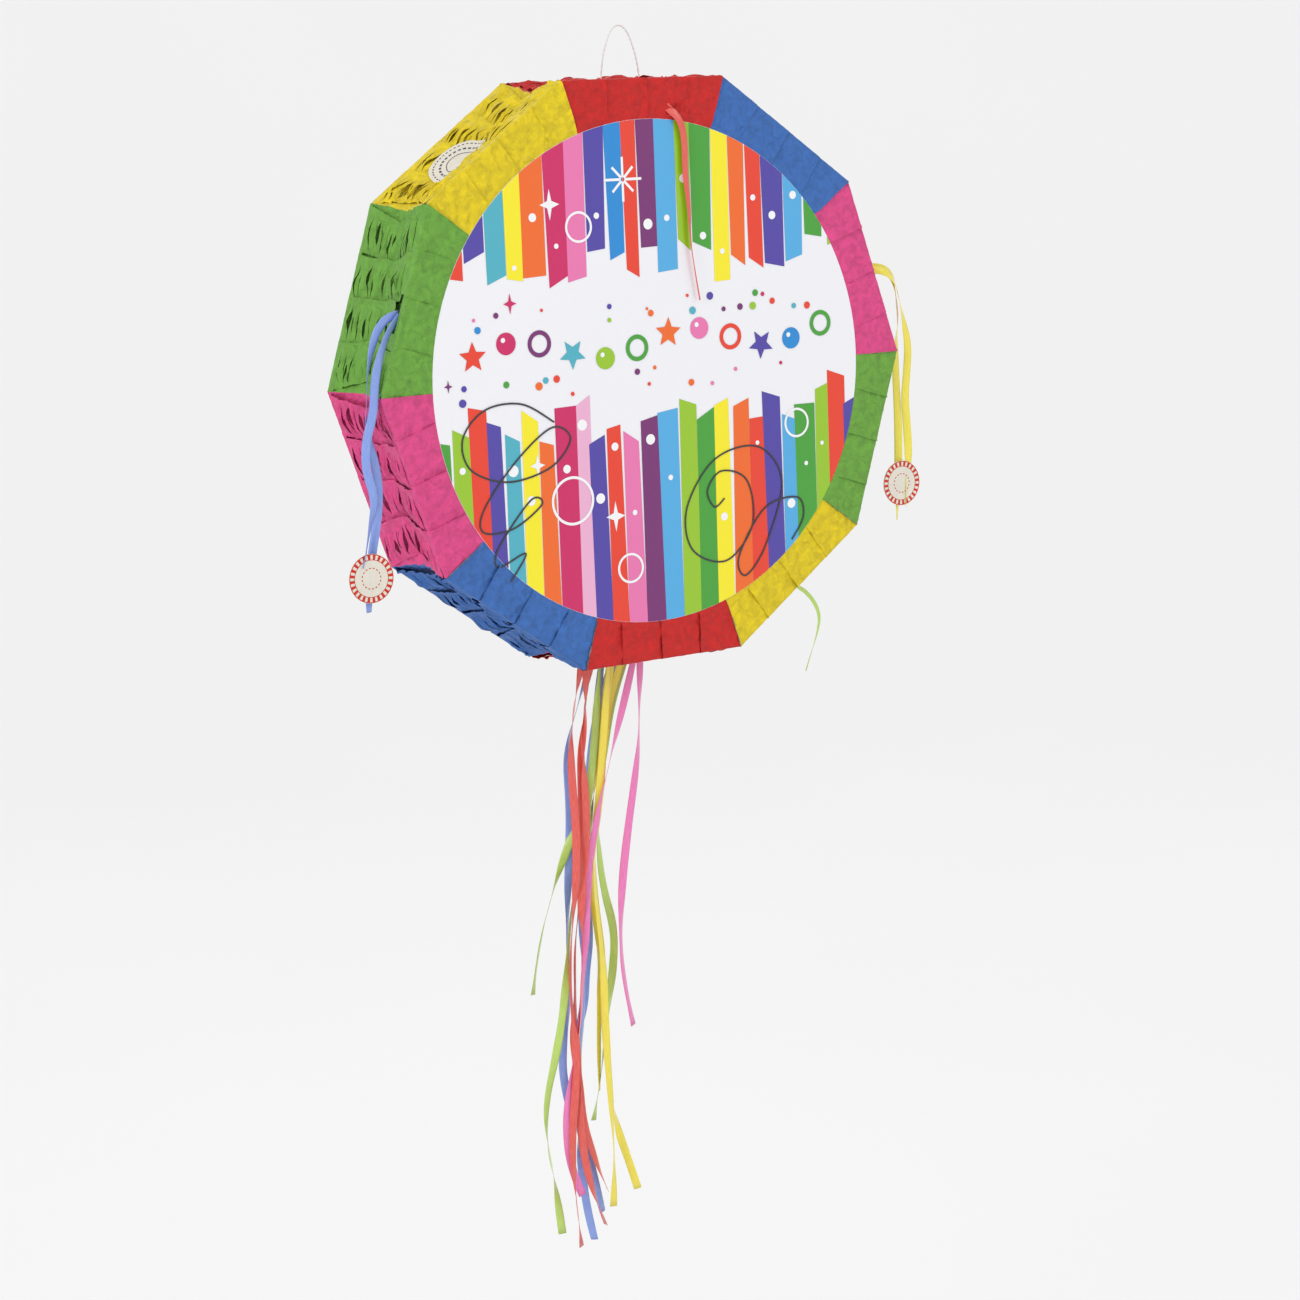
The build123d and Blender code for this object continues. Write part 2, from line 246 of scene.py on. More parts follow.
def node(tree, kind, links=(), sockets=(), **values):
    """A node with settings by name, sockets by name or number and links from other sockets."""
    made = tree.nodes.new(kind)
    for key, value in values.items():
        if key.startswith("in_"):
            made.inputs[int(key[3:])].default_value = value
        else:
            setattr(made, key, value)
    for socket, value in sockets:
        made.inputs[socket].default_value = value
    for socket, source in links:
        tree.links.new(source, made.inputs[socket])
    return made


def noise_texture(tree, place, scale, detail=2.0, *more, **values):
    """Smooth noise at a place, with features of about one over scale."""
    settings = [("Scale", scale), ("Detail", detail), *more]
    return node(tree, "ShaderNodeTexNoise", [("Vector", place)], settings, **values)


def object_place(tree):
    return node(tree, "ShaderNodeTexCoord").outputs["Object"]


def stretched(tree, place, scale):
    """A place with its axes scaled, for a texture that runs one way."""
    return node(tree, "ShaderNodeMapping", [("Vector", place)], [("Scale", scale)]).outputs[0]


def shared_pattern(tree, name):
    """One of the shared node groups, used in a material."""
    made = tree.nodes.new("ShaderNodeGroup")
    made.node_tree = bpy.data.node_groups[name]
    return made.outputs


def mix_colours(tree, factor, first, second, blend="MIX"):
    """Mixes two colours, each a socket or a plain value, by a socket or a number."""
    made = tree.nodes.new("ShaderNodeMix")
    made.data_type = "RGBA"
    made.blend_type = blend
    for socket, value in ((0, factor), (6, first), (7, second)):
        if isinstance(value, bpy.types.NodeSocket):
            tree.links.new(value, made.inputs[socket])
        else:
            made.inputs[socket].default_value = value
    return made.outputs[2]


def crinkle_group():
    """Crumpled thin paper: patches of painted shade, paler crease lines for a painted highlight, sharp little
    facets and fine fibres.
    """
    tree, source, sink = group(
        "crumpled_paper",
        [("Facets", "NodeSocketFloat", 130.0), ("Fibres", "NodeSocketFloat", 900.0)],
        [("Patches", "NodeSocketFloat"), ("Streaks", "NodeSocketFloat"), ("Height", "NodeSocketFloat")],
    )
    place = object_place(tree)
    warp = noise_texture(tree, place, 60.0)
    pushed = node(
        tree, "ShaderNodeVectorMath", [(0, warp.outputs["Color"])], [("Scale", 0.012)], operation="SCALE"
    )
    bent = node(
        tree, "ShaderNodeVectorMath", [(0, place), (1, pushed.outputs[0])], operation="ADD"
    ).outputs[0]
    facets = node(
        tree, "ShaderNodeTexVoronoi", [("Vector", bent), ("Scale", source.outputs[0])], feature="F1"
    )
    broad = noise_texture(tree, bent, 150.0, 4.0, ("Distortion", 0.8))
    fine = noise_texture(tree, place, 0.0, 3.0)
    tree.links.new(source.outputs[1], fine.inputs["Scale"])
    ridges = noise_texture(tree, bent, 70.0, 5.0, ("Roughness", 0.6), noise_type="RIDGED_MULTIFRACTAL")
    tall = node(
        tree, "ShaderNodeMath", [(0, facets.outputs["Distance"])], operation="MULTIPLY", in_1=0.55
    )
    taller = node(
        tree, "ShaderNodeMath", operation="MULTIPLY_ADD",
        links=[(0, ridges.outputs[0]), (2, tall.outputs[0])], in_1=0.30,
    )
    height = node(
        tree, "ShaderNodeMath", operation="MULTIPLY_ADD",
        links=[(0, fine.outputs[0]), (2, taller.outputs[0])], in_1=0.16,
    )
    # Paler lines on the crease ridges are a painted highlight; the patches on the next line are painted
    # shade.
    crease_highlight = node(tree, "ShaderNodeMapRange", [(0, ridges.outputs[0])], in_1=0.35, in_2=1.1)
    patch = node(tree, "ShaderNodeMapRange", [(0, broad.outputs[0])], in_1=0.32, in_2=0.68)
    tree.links.new(patch.outputs[0], sink.inputs["Patches"])
    tree.links.new(crease_highlight.outputs[0], sink.inputs["Streaks"])
    tree.links.new(height.outputs[0], sink.inputs["Height"])
    return tree


def board_group():
    """Paper board: long pulp fibres and a faint cloudy tone."""
    tree, source, sink = group(
        "paper_board",
        [("Fibres", "NodeSocketFloat", 420.0)],
        [("Tone", "NodeSocketFloat"), ("Height", "NodeSocketFloat")],
    )
    place = object_place(tree)
    pulp = noise_texture(tree, stretched(tree, place, (1.0, 1.0, 0.25)), 0.0, 5.0)
    tree.links.new(source.outputs[0], pulp.inputs["Scale"])
    cloud = noise_texture(tree, place, 18.0)
    both = node(
        tree, "ShaderNodeMath", operation="MULTIPLY_ADD",
        links=[(0, pulp.outputs[0]), (2, cloud.outputs[0])], in_1=0.5,
    )
    tone = node(tree, "ShaderNodeMapRange", [(0, both.outputs[0])], in_1=0.5, in_2=1.0)
    tree.links.new(tone.outputs[0], sink.inputs["Tone"])
    tree.links.new(pulp.outputs[0], sink.inputs["Height"])
    return tree


def new_finish(name, roughness, specular=0.5, sheen=0.0, coat=0.0, coat_roughness=0.1):
    """A material with a Principled shader whose even values sit on its own sockets."""
    finish = bpy.data.materials.new(name)
    finish.use_nodes = True
    tree = finish.node_tree
    shader = tree.nodes["Principled BSDF"]
    shader.inputs["Roughness"].default_value = roughness
    shader.inputs["Specular IOR Level"].default_value = specular
    shader.inputs["Sheen Weight"].default_value = sheen
    shader.inputs["Coat Weight"].default_value = coat
    shader.inputs["Coat Roughness"].default_value = coat_roughness
    return finish, tree, shader


FINE_GRAIN = 0.2 * MM        # how deep the finest bumps of paper, string and wood go


def opaque(colour):
    return (colour[0], colour[1], colour[2], 1.0)


def shaded(colour, share):
    return (colour[0] * share, colour[1] * share, colour[2] * share, 1.0)


def tinted(colour, share):
    return tuple(channel + (1.0 - channel) * share for channel in colour[:3]) + (1.0,)


def bump(tree, shader, height, strength, distance):
    """Bends a shader's normal by a height socket, up to a distance in metres."""
    made = node(
        tree, "ShaderNodeBump", [("Height", height)], [("Strength", strength), ("Distance", distance)]
    )
    tree.links.new(made.outputs["Normal"], shader.inputs["Normal"])


def tissue_finish(word, colour):
    """Matte crumpled tissue, darker in patches of painted shade and paler along its creases as a painted
    highlight.
    """
    finish, tree, shader = new_finish(f"tissue_{word}", 0.58, specular=0.3, sheen=0.05)
    crinkle = shared_pattern(tree, "crumpled_paper")
    # Darker patches: painted shade, mixed into the tissue's colour.
    shade_patched = mix_colours(tree, crinkle["Patches"], shaded(colour, 0.74), opaque(colour))
    # Paler along the creases: a painted highlight.
    highlight_share = node(tree, "ShaderNodeMath", [(0, crinkle["Streaks"])], operation="MULTIPLY", in_1=0.42)
    pale = mix_colours(tree, highlight_share.outputs[0], shade_patched, tinted(colour, 0.10))
    tree.links.new(pale, shader.inputs["Base Color"])
    rough = node(tree, "ShaderNodeMapRange", [(0, crinkle["Patches"])], in_3=0.5, in_4=0.7)
    tree.links.new(rough.outputs[0], shader.inputs["Roughness"])
    bump(tree, shader, crinkle["Height"], 1.0, 3.4 * MM)
    return finish


def card_finish(name, colour, roughness):
    """Plain card or paper with its pulp just showing."""
    finish, tree, shader = new_finish(name, roughness, specular=0.25)
    pulp = shared_pattern(tree, "paper_board")
    toned = mix_colours(tree, pulp["Tone"], shaded(colour, 0.86), opaque(colour))
    tree.links.new(toned, shader.inputs["Base Color"])
    bump(tree, shader, pulp["Height"], 0.25, FINE_GRAIN)
    return finish


def gloss_print_finish(name, colour=None):
    """Glossy printed paper glued flat, so only long soft waves bend its reflections."""
    finish, tree, shader = new_finish(name, 0.24, specular=0.5, coat=0.25, coat_roughness=0.12)
    place = object_place(tree)
    grain = noise_texture(tree, place, 1400.0)
    if colour is None:
        ink = node(tree, "ShaderNodeAttribute", attribute_name="ink").outputs["Color"]
    else:
        ink = node(tree, "ShaderNodeRGB").outputs[0]
        ink.default_value = opaque(colour)
    speckled = node(
        tree, "ShaderNodeMapRange", [(0, grain.outputs[0])], in_1=0.3, in_2=0.7, in_3=0.0, in_4=0.035
    )
    dusted = mix_colours(tree, speckled.outputs[0], ink, (0.45, 0.45, 0.47, 1.0))
    tree.links.new(dusted, shader.inputs["Base Color"])
    waves = noise_texture(tree, place, 14.0, 1.0)
    bump(tree, shader, waves.outputs[0], 0.5, 2.2 * MM)
    return finish


def ribbon_finish(word, colour):
    """Satin curling ribbon, with fine lines along it."""
    finish, tree, shader = new_finish(
        f"ribbon_{word}", 0.28, specular=0.5, sheen=0.1, coat=0.3, coat_roughness=0.18
    )
    across = node(tree, "ShaderNodeUVMap", uv_map="ribbon").outputs[0]
    lines = noise_texture(tree, stretched(tree, across, (26.0, 0.8, 1.0)), 1.0)
    share = node(tree, "ShaderNodeMapRange", [(0, lines.outputs[0])], in_1=0.3, in_2=0.7)
    toned = mix_colours(tree, share.outputs[0], shaded(colour, 0.84), tinted(colour, 0.10))
    tree.links.new(toned, shader.inputs["Base Color"])
    bump(tree, shader, lines.outputs[0], 0.3, FINE_GRAIN)
    return finish


def grained_finish(parts, colour, scale, detail, run, shade, strength):
    """String or wood: fine noise that runs one way, in the colour and a darker shade of it."""
    finish, tree, shader = parts
    grain = noise_texture(tree, stretched(tree, object_place(tree), run), scale, detail)
    toned = mix_colours(tree, grain.outputs[0], shaded(colour, shade), opaque(colour))
    tree.links.new(toned, shader.inputs["Base Color"])
    bump(tree, shader, grain.outputs[0], strength, FINE_GRAIN)
    return finish


finishes = {}


def make_finishes():
    """Every material, made once and kept by its slot's name."""
    crinkle_group()
    board_group()
    colours = bpy.context.scene.pinata_colours
    for word in ("red", "blue", "pink", "green", "yellow"):
        colour = getattr(colours, f"tissue_{word}")
        finishes[f"tissue_{word}"] = tissue_finish(word, colour)
        # The tissue beneath the fringe, seen through the slits, is made darker: painted shade in the slits.
        finishes[f"under_{word}"] = tissue_finish(f"{word}_under", shaded(colour, 0.82))
    for word in ("red", "blue", "lime", "yellow", "pink"):
        finishes[f"ribbon_{word}"] = ribbon_finish(word, getattr(colours, f"ribbon_{word}"))
    for name, colour, roughness in (
        ("board_card", colours.card, 0.8), ("white_card", colours.card, 0.8),
        ("label_paper", colours.label, 0.5), ("tag_paper", colours.label, 0.5),
        ("label_ink", colours.label_ink, 0.5), ("tag_ink", colours.tag_ink, 0.45),
    ):
        finishes[name] = card_finish(name, colour, roughness)
    finishes["printed_paper"] = gloss_print_finish("printed_paper", colours.paper)
    finishes["printing_ink"] = gloss_print_finish("printing_ink")
    finishes["white_string"] = grained_finish(
        new_finish("white_string", 0.7, specular=0.3, sheen=0.3),
        colours.string, scale=2600.0, detail=2.0, run=(1.0, 1.0, 1.0), shade=0.8, strength=0.4,
    )
    finishes["toggle_wood"] = grained_finish(
        new_finish("toggle_wood", 0.55, specular=0.3),
        colours.wood, scale=900.0, detail=4.0, run=(0.08, 1.0, 1.0), shade=0.6, strength=0.3,
    )


# --- cords ------------------------------------------------------------------------------
# Given points of each cord's centreline, from where it leaves the object.
LOOP_ROUTE = (
    (-0.0185, 0, -0.05385), (-0.0175, 0, -0.036), (-0.0135, 0, -0.017), (-0.0055, 0, 0), (0.0055, 0, 0),
    (0.0135, 0, -0.017), (0.0175, 0, -0.036), (0.0185, 0, -0.05385),
)
STREAMER_ROUTE = (
    (0.012, -0.0456, -0.062), (0.014, -0.0474, -0.066), (0.019, -0.049, -0.07), (0.024, -0.049, -0.078),
    (0.026, -0.049, -0.093), (0.025, -0.049, -0.114), (0.028, -0.049, -0.14), (0.028, -0.049, -0.166),
    (0.031, -0.049, -0.189), (0.035, -0.049, -0.213),
)
LOOSE_ROUTE = (
    (0.1235, -0.0416, -0.448), (0.126, -0.039, -0.45), (0.13, -0.037, -0.453), (0.137, -0.036, -0.457),
    (0.146, -0.036, -0.467), (0.151, -0.036, -0.48), (0.147, -0.036, -0.495), (0.141, -0.036, -0.508),
    (0.135, -0.036, -0.523),
)
PULL_ROUTES = {
    "left_pull_ribbon_a": (
        (-0.224, -0.0375, -0.207), (-0.232, -0.0375, -0.208), (-0.24, -0.036, -0.215),
        (-0.246, -0.036, -0.227), (-0.251, -0.036, -0.246), (-0.254, -0.036, -0.268),
        (-0.255, -0.036, -0.292), (-0.249, -0.036, -0.315), (-0.247, -0.036, -0.336),
        (-0.25, -0.036, -0.358), (-0.256, -0.036, -0.383), (-0.26, -0.036, -0.405),
        (-0.261, -0.036, -0.426),
    ),
    "left_pull_ribbon_b": (
        (-0.224, -0.0395, -0.208), (-0.229, -0.0395, -0.213), (-0.236, -0.0395, -0.222),
        (-0.243, -0.0395, -0.238), (-0.248, -0.0395, -0.256), (-0.25, -0.0395, -0.278),
        (-0.258, -0.0395, -0.299), (-0.259, -0.0395, -0.32), (-0.252, -0.0395, -0.342),
        (-0.259, -0.0395, -0.364), (-0.265, -0.0395, -0.392),
    ),
    "right_pull_ribbon_a": (
        (0.205, -0.0375, -0.198), (0.213, -0.0375, -0.198), (0.224, -0.036, -0.2), (0.233, -0.036, -0.207),
        (0.236, -0.036, -0.222), (0.238, -0.036, -0.241), (0.235, -0.036, -0.261), (0.234, -0.036, -0.285),
        (0.235, -0.036, -0.311), (0.2355, -0.036, -0.343), (0.234, -0.036, -0.377),
        (0.232, -0.036, -0.408),
    ),
    "right_pull_ribbon_b": (
        (0.205, -0.0395, -0.199), (0.214, -0.0395, -0.2), (0.225, -0.0395, -0.203),
        (0.233, -0.0395, -0.212), (0.237, -0.0395, -0.227), (0.241, -0.0395, -0.244),
        (0.245, -0.0395, -0.264), (0.243, -0.0395, -0.285), (0.24, -0.0395, -0.307),
        (0.242, -0.0395, -0.333), (0.243, -0.0395, -0.356), (0.24, -0.0395, -0.38),
        (0.239, -0.0395, -0.397),
    ),
}
TAIL_ROUTES = {
    "tail_red_a": (
        (-0.0529, 0.0029, -0.4844), (-0.059, 0, -0.504), (-0.067, -0.002, -0.528), (-0.073, -0.004, -0.56),
        (-0.073, -0.004, -0.592), (-0.071, -0.004, -0.63), (-0.073, -0.004, -0.671),
        (-0.078, -0.004, -0.703), (-0.082, -0.004, -0.735), (-0.083, -0.004, -0.769),
        (-0.08, -0.004, -0.803), (-0.081, -0.004, -0.836), (-0.087, -0.004, -0.877),
        (-0.088, -0.004, -0.92), (-0.083, -0.004, -0.978),
    ),
    "tail_red_b": (
        (-0.0511, 0.0029, -0.4844), (-0.053, 0.0007, -0.504), (-0.057, -0.0024, -0.534),
        (-0.061, -0.0024, -0.574), (-0.06, -0.0024, -0.607), (-0.062, -0.0024, -0.648),
        (-0.069, -0.0024, -0.688), (-0.068, -0.0024, -0.721), (-0.072, -0.0024, -0.754),
        (-0.074, -0.0024, -0.788), (-0.079, -0.0024, -0.82), (-0.079, -0.0024, -0.854),
        (-0.077, -0.0024, -0.897), (-0.07, -0.0024, -0.933), (-0.058, -0.0024, -0.966),
    ),
    "tail_red_c": (
        (-0.0439, 0.0029, -0.4844), (-0.048, 0.0027, -0.504), (-0.054, 0.0026, -0.53),
        (-0.06, 0.0024, -0.562), (-0.061, 0.0024, -0.604), (-0.062, 0.0024, -0.649),
        (-0.067, 0.0024, -0.689), (-0.074, 0.0024, -0.73), (-0.075, 0.0024, -0.771),
        (-0.079, 0.0024, -0.804), (-0.075, 0.0024, -0.839), (-0.073, 0.0024, -0.873),
        (-0.066, 0.0024, -0.901), (-0.052, 0.0024, -0.939),
    ),
    "tail_blue_a": (
        (-0.0421, 0.0029, -0.4844), (-0.046, 0.0087, -0.504), (-0.054, 0.0168, -0.537),
        (-0.066, 0.0168, -0.568), (-0.064, 0.0168, -0.612), (-0.066, 0.0168, -0.651),
        (-0.07, 0.0168, -0.692), (-0.072, 0.0168, -0.733), (-0.071, 0.0168, -0.776),
        (-0.08, 0.0168, -0.808), (-0.082, 0.0168, -0.841), (-0.076, 0.0168, -0.868),
    ),
    "tail_lime_b": (
        (-0.0359, 0.0029, -0.4844), (-0.038, 0.004, -0.504), (-0.041, 0.0056, -0.53),
        (-0.045, 0.0056, -0.566), (-0.052, 0.0056, -0.604), (-0.063, 0.0056, -0.649),
        (-0.072, 0.0056, -0.689), (-0.078, 0.0056, -0.73), (-0.083, 0.0056, -0.771),
        (-0.092, 0.0056, -0.811), (-0.106, 0.0056, -0.855), (-0.105, 0.0056, -0.893),
        (-0.099, 0.0056, -0.928), (-0.095, 0.0056, -0.967),
    ),
    "tail_blue_c": (
        (-0.0341, 0.0029, -0.4844), (-0.0364, 0.0054, -0.504), (-0.039, 0.0088, -0.532),
        (-0.046, 0.0088, -0.571), (-0.053, 0.0088, -0.615), (-0.059, 0.0088, -0.66),
        (-0.062, 0.0088, -0.709), (-0.061, 0.0088, -0.755), (-0.066, 0.0088, -0.8),
        (-0.072, 0.0088, -0.841), (-0.069, 0.0088, -0.885), (-0.062, 0.0088, -0.921),
        (-0.054, 0.0088, -0.959),
    ),
    "tail_yellow_a": (
        (-0.0279, 0.0029, -0.4844), (-0.031, 0.002, -0.504), (-0.035, 0.0012, -0.528),
        (-0.04, 0.0008, -0.566), (-0.045, 0.0008, -0.606), (-0.053, 0.0008, -0.647),
        (-0.053, 0.0008, -0.686), (-0.05, 0.0008, -0.718), (-0.048, 0.0008, -0.751),
        (-0.049, 0.0008, -0.785), (-0.048, 0.0008, -0.827), (-0.046, 0.0008, -0.871),
        (-0.045, 0.0008, -0.914), (-0.048, 0.0008, -0.953),
    ),
    "tail_yellow_c": (
        (-0.0261, 0.0029, -0.4844), (-0.028, 0.0047, -0.504), (-0.032, 0.0072, -0.53),
        (-0.037, 0.0072, -0.562), (-0.045, 0.0072, -0.596), (-0.052, 0.0072, -0.635),
        (-0.053, 0.0072, -0.676), (-0.048, 0.0072, -0.719), (-0.044, 0.0072, -0.762),
        (-0.045, 0.0072, -0.813), (-0.043, 0.0072, -0.856), (-0.037, 0.0072, -0.892),
        (-0.028, 0.0072, -0.919), (-0.02, 0.0072, -0.946),
    ),
    "tail_blue_b": (
        (-0.0199, 0.0029, -0.4844), (-0.025, 0.0074, -0.504), (-0.033, 0.0136, -0.531),
        (-0.042, 0.0136, -0.563), (-0.048, 0.0136, -0.6), (-0.051, 0.0136, -0.648),
        (-0.05, 0.0136, -0.695), (-0.054, 0.0136, -0.736), (-0.059, 0.0136, -0.777),
        (-0.069, 0.0136, -0.808), (-0.074, 0.0136, -0.85), (-0.072, 0.0136, -0.89),
        (-0.069, 0.0136, -0.925), (-0.066, 0.0136, -0.956), (-0.06, 0.0136, -0.983),
    ),
    "tail_lime_a": (
        (-0.0181, 0.0029, -0.4844), (-0.022, 0.008, -0.503), (-0.03, 0.0152, -0.531),
        (-0.039, 0.0152, -0.566), (-0.049, 0.0152, -0.6), (-0.063, 0.0152, -0.637),
        (-0.081, 0.0152, -0.673), (-0.1, 0.0152, -0.724), (-0.107, 0.0152, -0.764),
    ),
    "tail_yellow_b": (
        (-0.0109, 0.0029, -0.4844), (-0.018, 0.006, -0.504), (-0.027, 0.0104, -0.53),
        (-0.033, 0.0104, -0.566), (-0.042, 0.0104, -0.608), (-0.049, 0.0104, -0.652),
        (-0.047, 0.0104, -0.706), (-0.043, 0.0104, -0.746), (-0.047, 0.0104, -0.779),
        (-0.05, 0.0104, -0.812), (-0.051, 0.0104, -0.855),
    ),
    "tail_lime_c": (
        (-0.0091, 0.0029, -0.4844), (-0.015, 0.0067, -0.504), (-0.023, 0.012, -0.532),
        (-0.031, 0.012, -0.564), (-0.038, 0.012, -0.605), (-0.042, 0.012, -0.645), (-0.039, 0.012, -0.685),
        (-0.029, 0.012, -0.724), (-0.033, 0.012, -0.76), (-0.041, 0.012, -0.8), (-0.047, 0.012, -0.84),
        (-0.057, 0.012, -0.88),
    ),
    "tail_pink_a": (
        (-0.0019, 0.0029, -0.4844), (-0.009, 0.0013, -0.504), (-0.018, -0.0008, -0.528),
        (-0.029, -0.0008, -0.56), (-0.041, -0.0008, -0.596), (-0.054, -0.0008, -0.64),
        (-0.062, -0.0008, -0.681), (-0.064, -0.0008, -0.714), (-0.069, -0.0008, -0.755),
        (-0.075, -0.0008, -0.8), (-0.086, -0.0008, -0.841), (-0.091, -0.0008, -0.877),
        (-0.088, -0.0008, -0.912), (-0.078, -0.0008, -0.936),
    ),
    "tail_pink_b": (
        (-0.0001, 0.0029, -0.4844), (-0.0003, 0.0034, -0.504), (-0.002, 0.004, -0.535),
        (-0.004, 0.004, -0.569), (-0.01, 0.004, -0.602), (-0.018, 0.004, -0.64), (-0.025, 0.004, -0.68),
        (-0.029, 0.004, -0.722), (-0.028, 0.004, -0.764), (-0.02, 0.004, -0.804),
    ),
}


def route_line(name, points, fineness=8):
    """The smooth centreline through a route's control points."""
    curve = bpy.data.curves.new(f"{name}_route", "CURVE")
    curve.dimensions = "3D"
    curve.resolution_u = fineness
    spline = curve.splines.new("NURBS")
    spline.points.add(len(points) - 1)
    for control, point in zip(spline.points, points):
        control.co = (*point, 1.0)
    spline.order_u = 3
    spline.use_endpoint_u = True
    holder = bpy.data.objects.new(f"{name}_route", curve)
    bpy.context.scene.collection.objects.link(holder)
    bpy.context.view_layer.update()
    line = bpy.data.meshes.new_from_object(holder)
    path = [vertex.co.copy() for vertex in line.vertices]
    bpy.data.objects.remove(holder)
    bpy.data.curves.remove(curve)
    bpy.data.meshes.remove(line)
    return path


def line_length(path):
    return sum((after - before).length for before, after in zip(path, path[1:]))


def directions(path):
    """The unit tangent at each point of a path."""
    last = len(path) - 1
    return [
        (path[min(i + 1, last)] - path[max(i - 1, 0)]).normalized() for i in range(last + 1)
    ]


RIBBON_THICKNESS = 0.12 * MM
RIBBON_CUP = 0.35 * MM       # how far the middle of its section stands out
TWIST_PITCH, RIPPLE_PITCH = 0.21, 0.083
STRAIGHT_START = 0.05        # over which the twist comes in, from the exit
RIBBON_FACING = Vector((0.15, -1.0, 0.0))


def ribbon(name, word, points, width, turn, phase, taper=0.0):
    """A flat ribbon that turns slowly about its own line, with a lightly cupped section."""
    path = route_line(name, points)
    tangents = directions(path)
    total = line_length(path)
    columns = 6
    sheet = Sheet()
    rings = []
    uvs = []
    travelled = 0.0
    for index, (point, tangent) in enumerate(zip(path, tangents)):
        if index:
            travelled += (point - path[index - 1]).length
        flat = tangent.cross(RIBBON_FACING).normalized()
        twist = turn * sin(2 * pi * travelled / TWIST_PITCH + phase) * smooth(0.0, STRAIGHT_START, travelled)
        twist += 0.3 * turn * sin(2 * pi * travelled / RIPPLE_PITCH + 2.1 * phase)
        flat = Matrix.Rotation(twist, 3, tangent) @ flat
        normal = flat.cross(tangent).normalized()
        half = width / 2 * (1 - taper * travelled / total)
        ring = []
        for side in (1, -1):
            for step in range(columns + 1):
                across = (step / columns * 2 - 1) * side
                lift = RIBBON_CUP * (1 - across * across) + side * RIBBON_THICKNESS / 2
                ring.append(sheet.add(point + flat * across * half + normal * lift))
                uvs.append((across / 2 + 0.5, travelled / width))
        rings.append(ring)
    sheet.skin(rings)
    piece = sheet_piece(f"{name}_strip", sheet, f"ribbon_{word}")
    layer = piece.data.uv_layers.new(name="ribbon")
    for loop in piece.data.loops:
        layer.data[loop.index].uv = uvs[loop.vertex_index]
    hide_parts(name)
    return piece, path, total


def tube_points(sheet, path, radius, sides, offset=None):
    """A round tube along a path, each ring moved off the line by offset(index)."""
    tangents = directions(path)
    across = Vector((0.0, 1.0, 0.0))
    rings = []
    for index, (point, tangent) in enumerate(zip(path, tangents)):
        first = tangent.cross(across).normalized()
        second = tangent.cross(first).normalized()
        middle = point
        if offset is not None:
            u, v = offset(index)
            middle = point + first * u + second * v
        rings.append([
            sheet.add(middle + (first * cos(2 * pi * k / sides) + second * sin(2 * pi * k / sides)) * radius)
            for k in range(sides)
        ])
    sheet.skin(rings)


# --- tissue on the rim --------------------------------------------------------------------
ROWS_A_SIDE = 4
UNCUT_FRONT = 7 * MM         # left uncut along the strip's front edge
UNCUT_REAR = 4 * MM
FLAT_MARGIN = 6 * MM         # over which the tissue rises from the boards' edges
TISSUE_LIFT = 0.25 * MM
FINGER_WIDTH = (2.3 * MM, 5.0 * MM)
SLIT_GAP = (0.15 * MM, 0.95 * MM)
LIP_LIFT = (-0.8 * MM, 2.8 * MM)       # how far a slit's two lips stand up
SLIT_DRIFT = 1.4 * MM
BULGE = (0.4 * MM, 3.6 * MM)           # of the fingers between two slits
STRIP_TILT = 1.2 * MM
EDGE_WAVE = 2.6 * MM
HEADER_STEPS = (0.0, 0.025, 0.06, 0.12, 0.19)
SLIT_STEPS = (0.25, 0.32, 0.39, 0.46, 0.53, 0.60, 0.67, 0.74, 0.81, 0.88)
TAIL_STEPS = (0.96, 1.03)
FINGER_COLUMNS = 3


def slit_tissue(number, along, y):
    """Whether a place on the rim is in the slit that a pull ribbon leaves by."""
    for side, place in (LEFT_SLIT, RIGHT_SLIT):
        if number == side and abs(along - place) < 13 * MM and y < -RIM_Y + 6.5 * MM:
            return True
    return False


def door_tissue(number, points):
    """Whether a patch of tissue is glued on the drop door, so that it swings with it."""
    if number != DOOR_SIDE:
        return False
    middle = sum(points, Vector()) / len(points)
    return DOOR_LOW.x < middle.x < DOOR_HIGH.x and DOOR_LOW.y < middle.y < DOOR_HIGH.y


def label_calm(number, along, y):
    """How much the tissue lies flat for the fill label glued on it, from 0 to 1."""
    if number != LABEL_SIDE:
        return 0.0
    away = sqrt((along - LABEL_PLACE) ** 2 + y ** 2)
    return 1.0 - smooth(LABEL_RADIUS - 2 * MM, LABEL_RADIUS + 5 * MM, away)


def door_calm(number, along, y):
    """How far the tissue is pressed down round the drop door's hinge, from 0 to 1."""
    if number != DOOR_SIDE or abs(along) > (DOOR_HIGH.x - DOOR_LOW.x) / 2 + 3 * MM:
        return 0.0
    return 1.0 - smooth(DOOR_LOW.y + 3 * MM, DOOR_LOW.y + 14 * MM, y)


def finger_edges(chance):
    """Places across the rim, from front to back, where the slits between fingers run."""
    edges = [-RIM_Y]
    while edges[-1] < RIM_Y - 7 * MM:
        edges.append(edges[-1] + chance.uniform(*FINGER_WIDTH))
    edges.append(RIM_Y)
    return edges


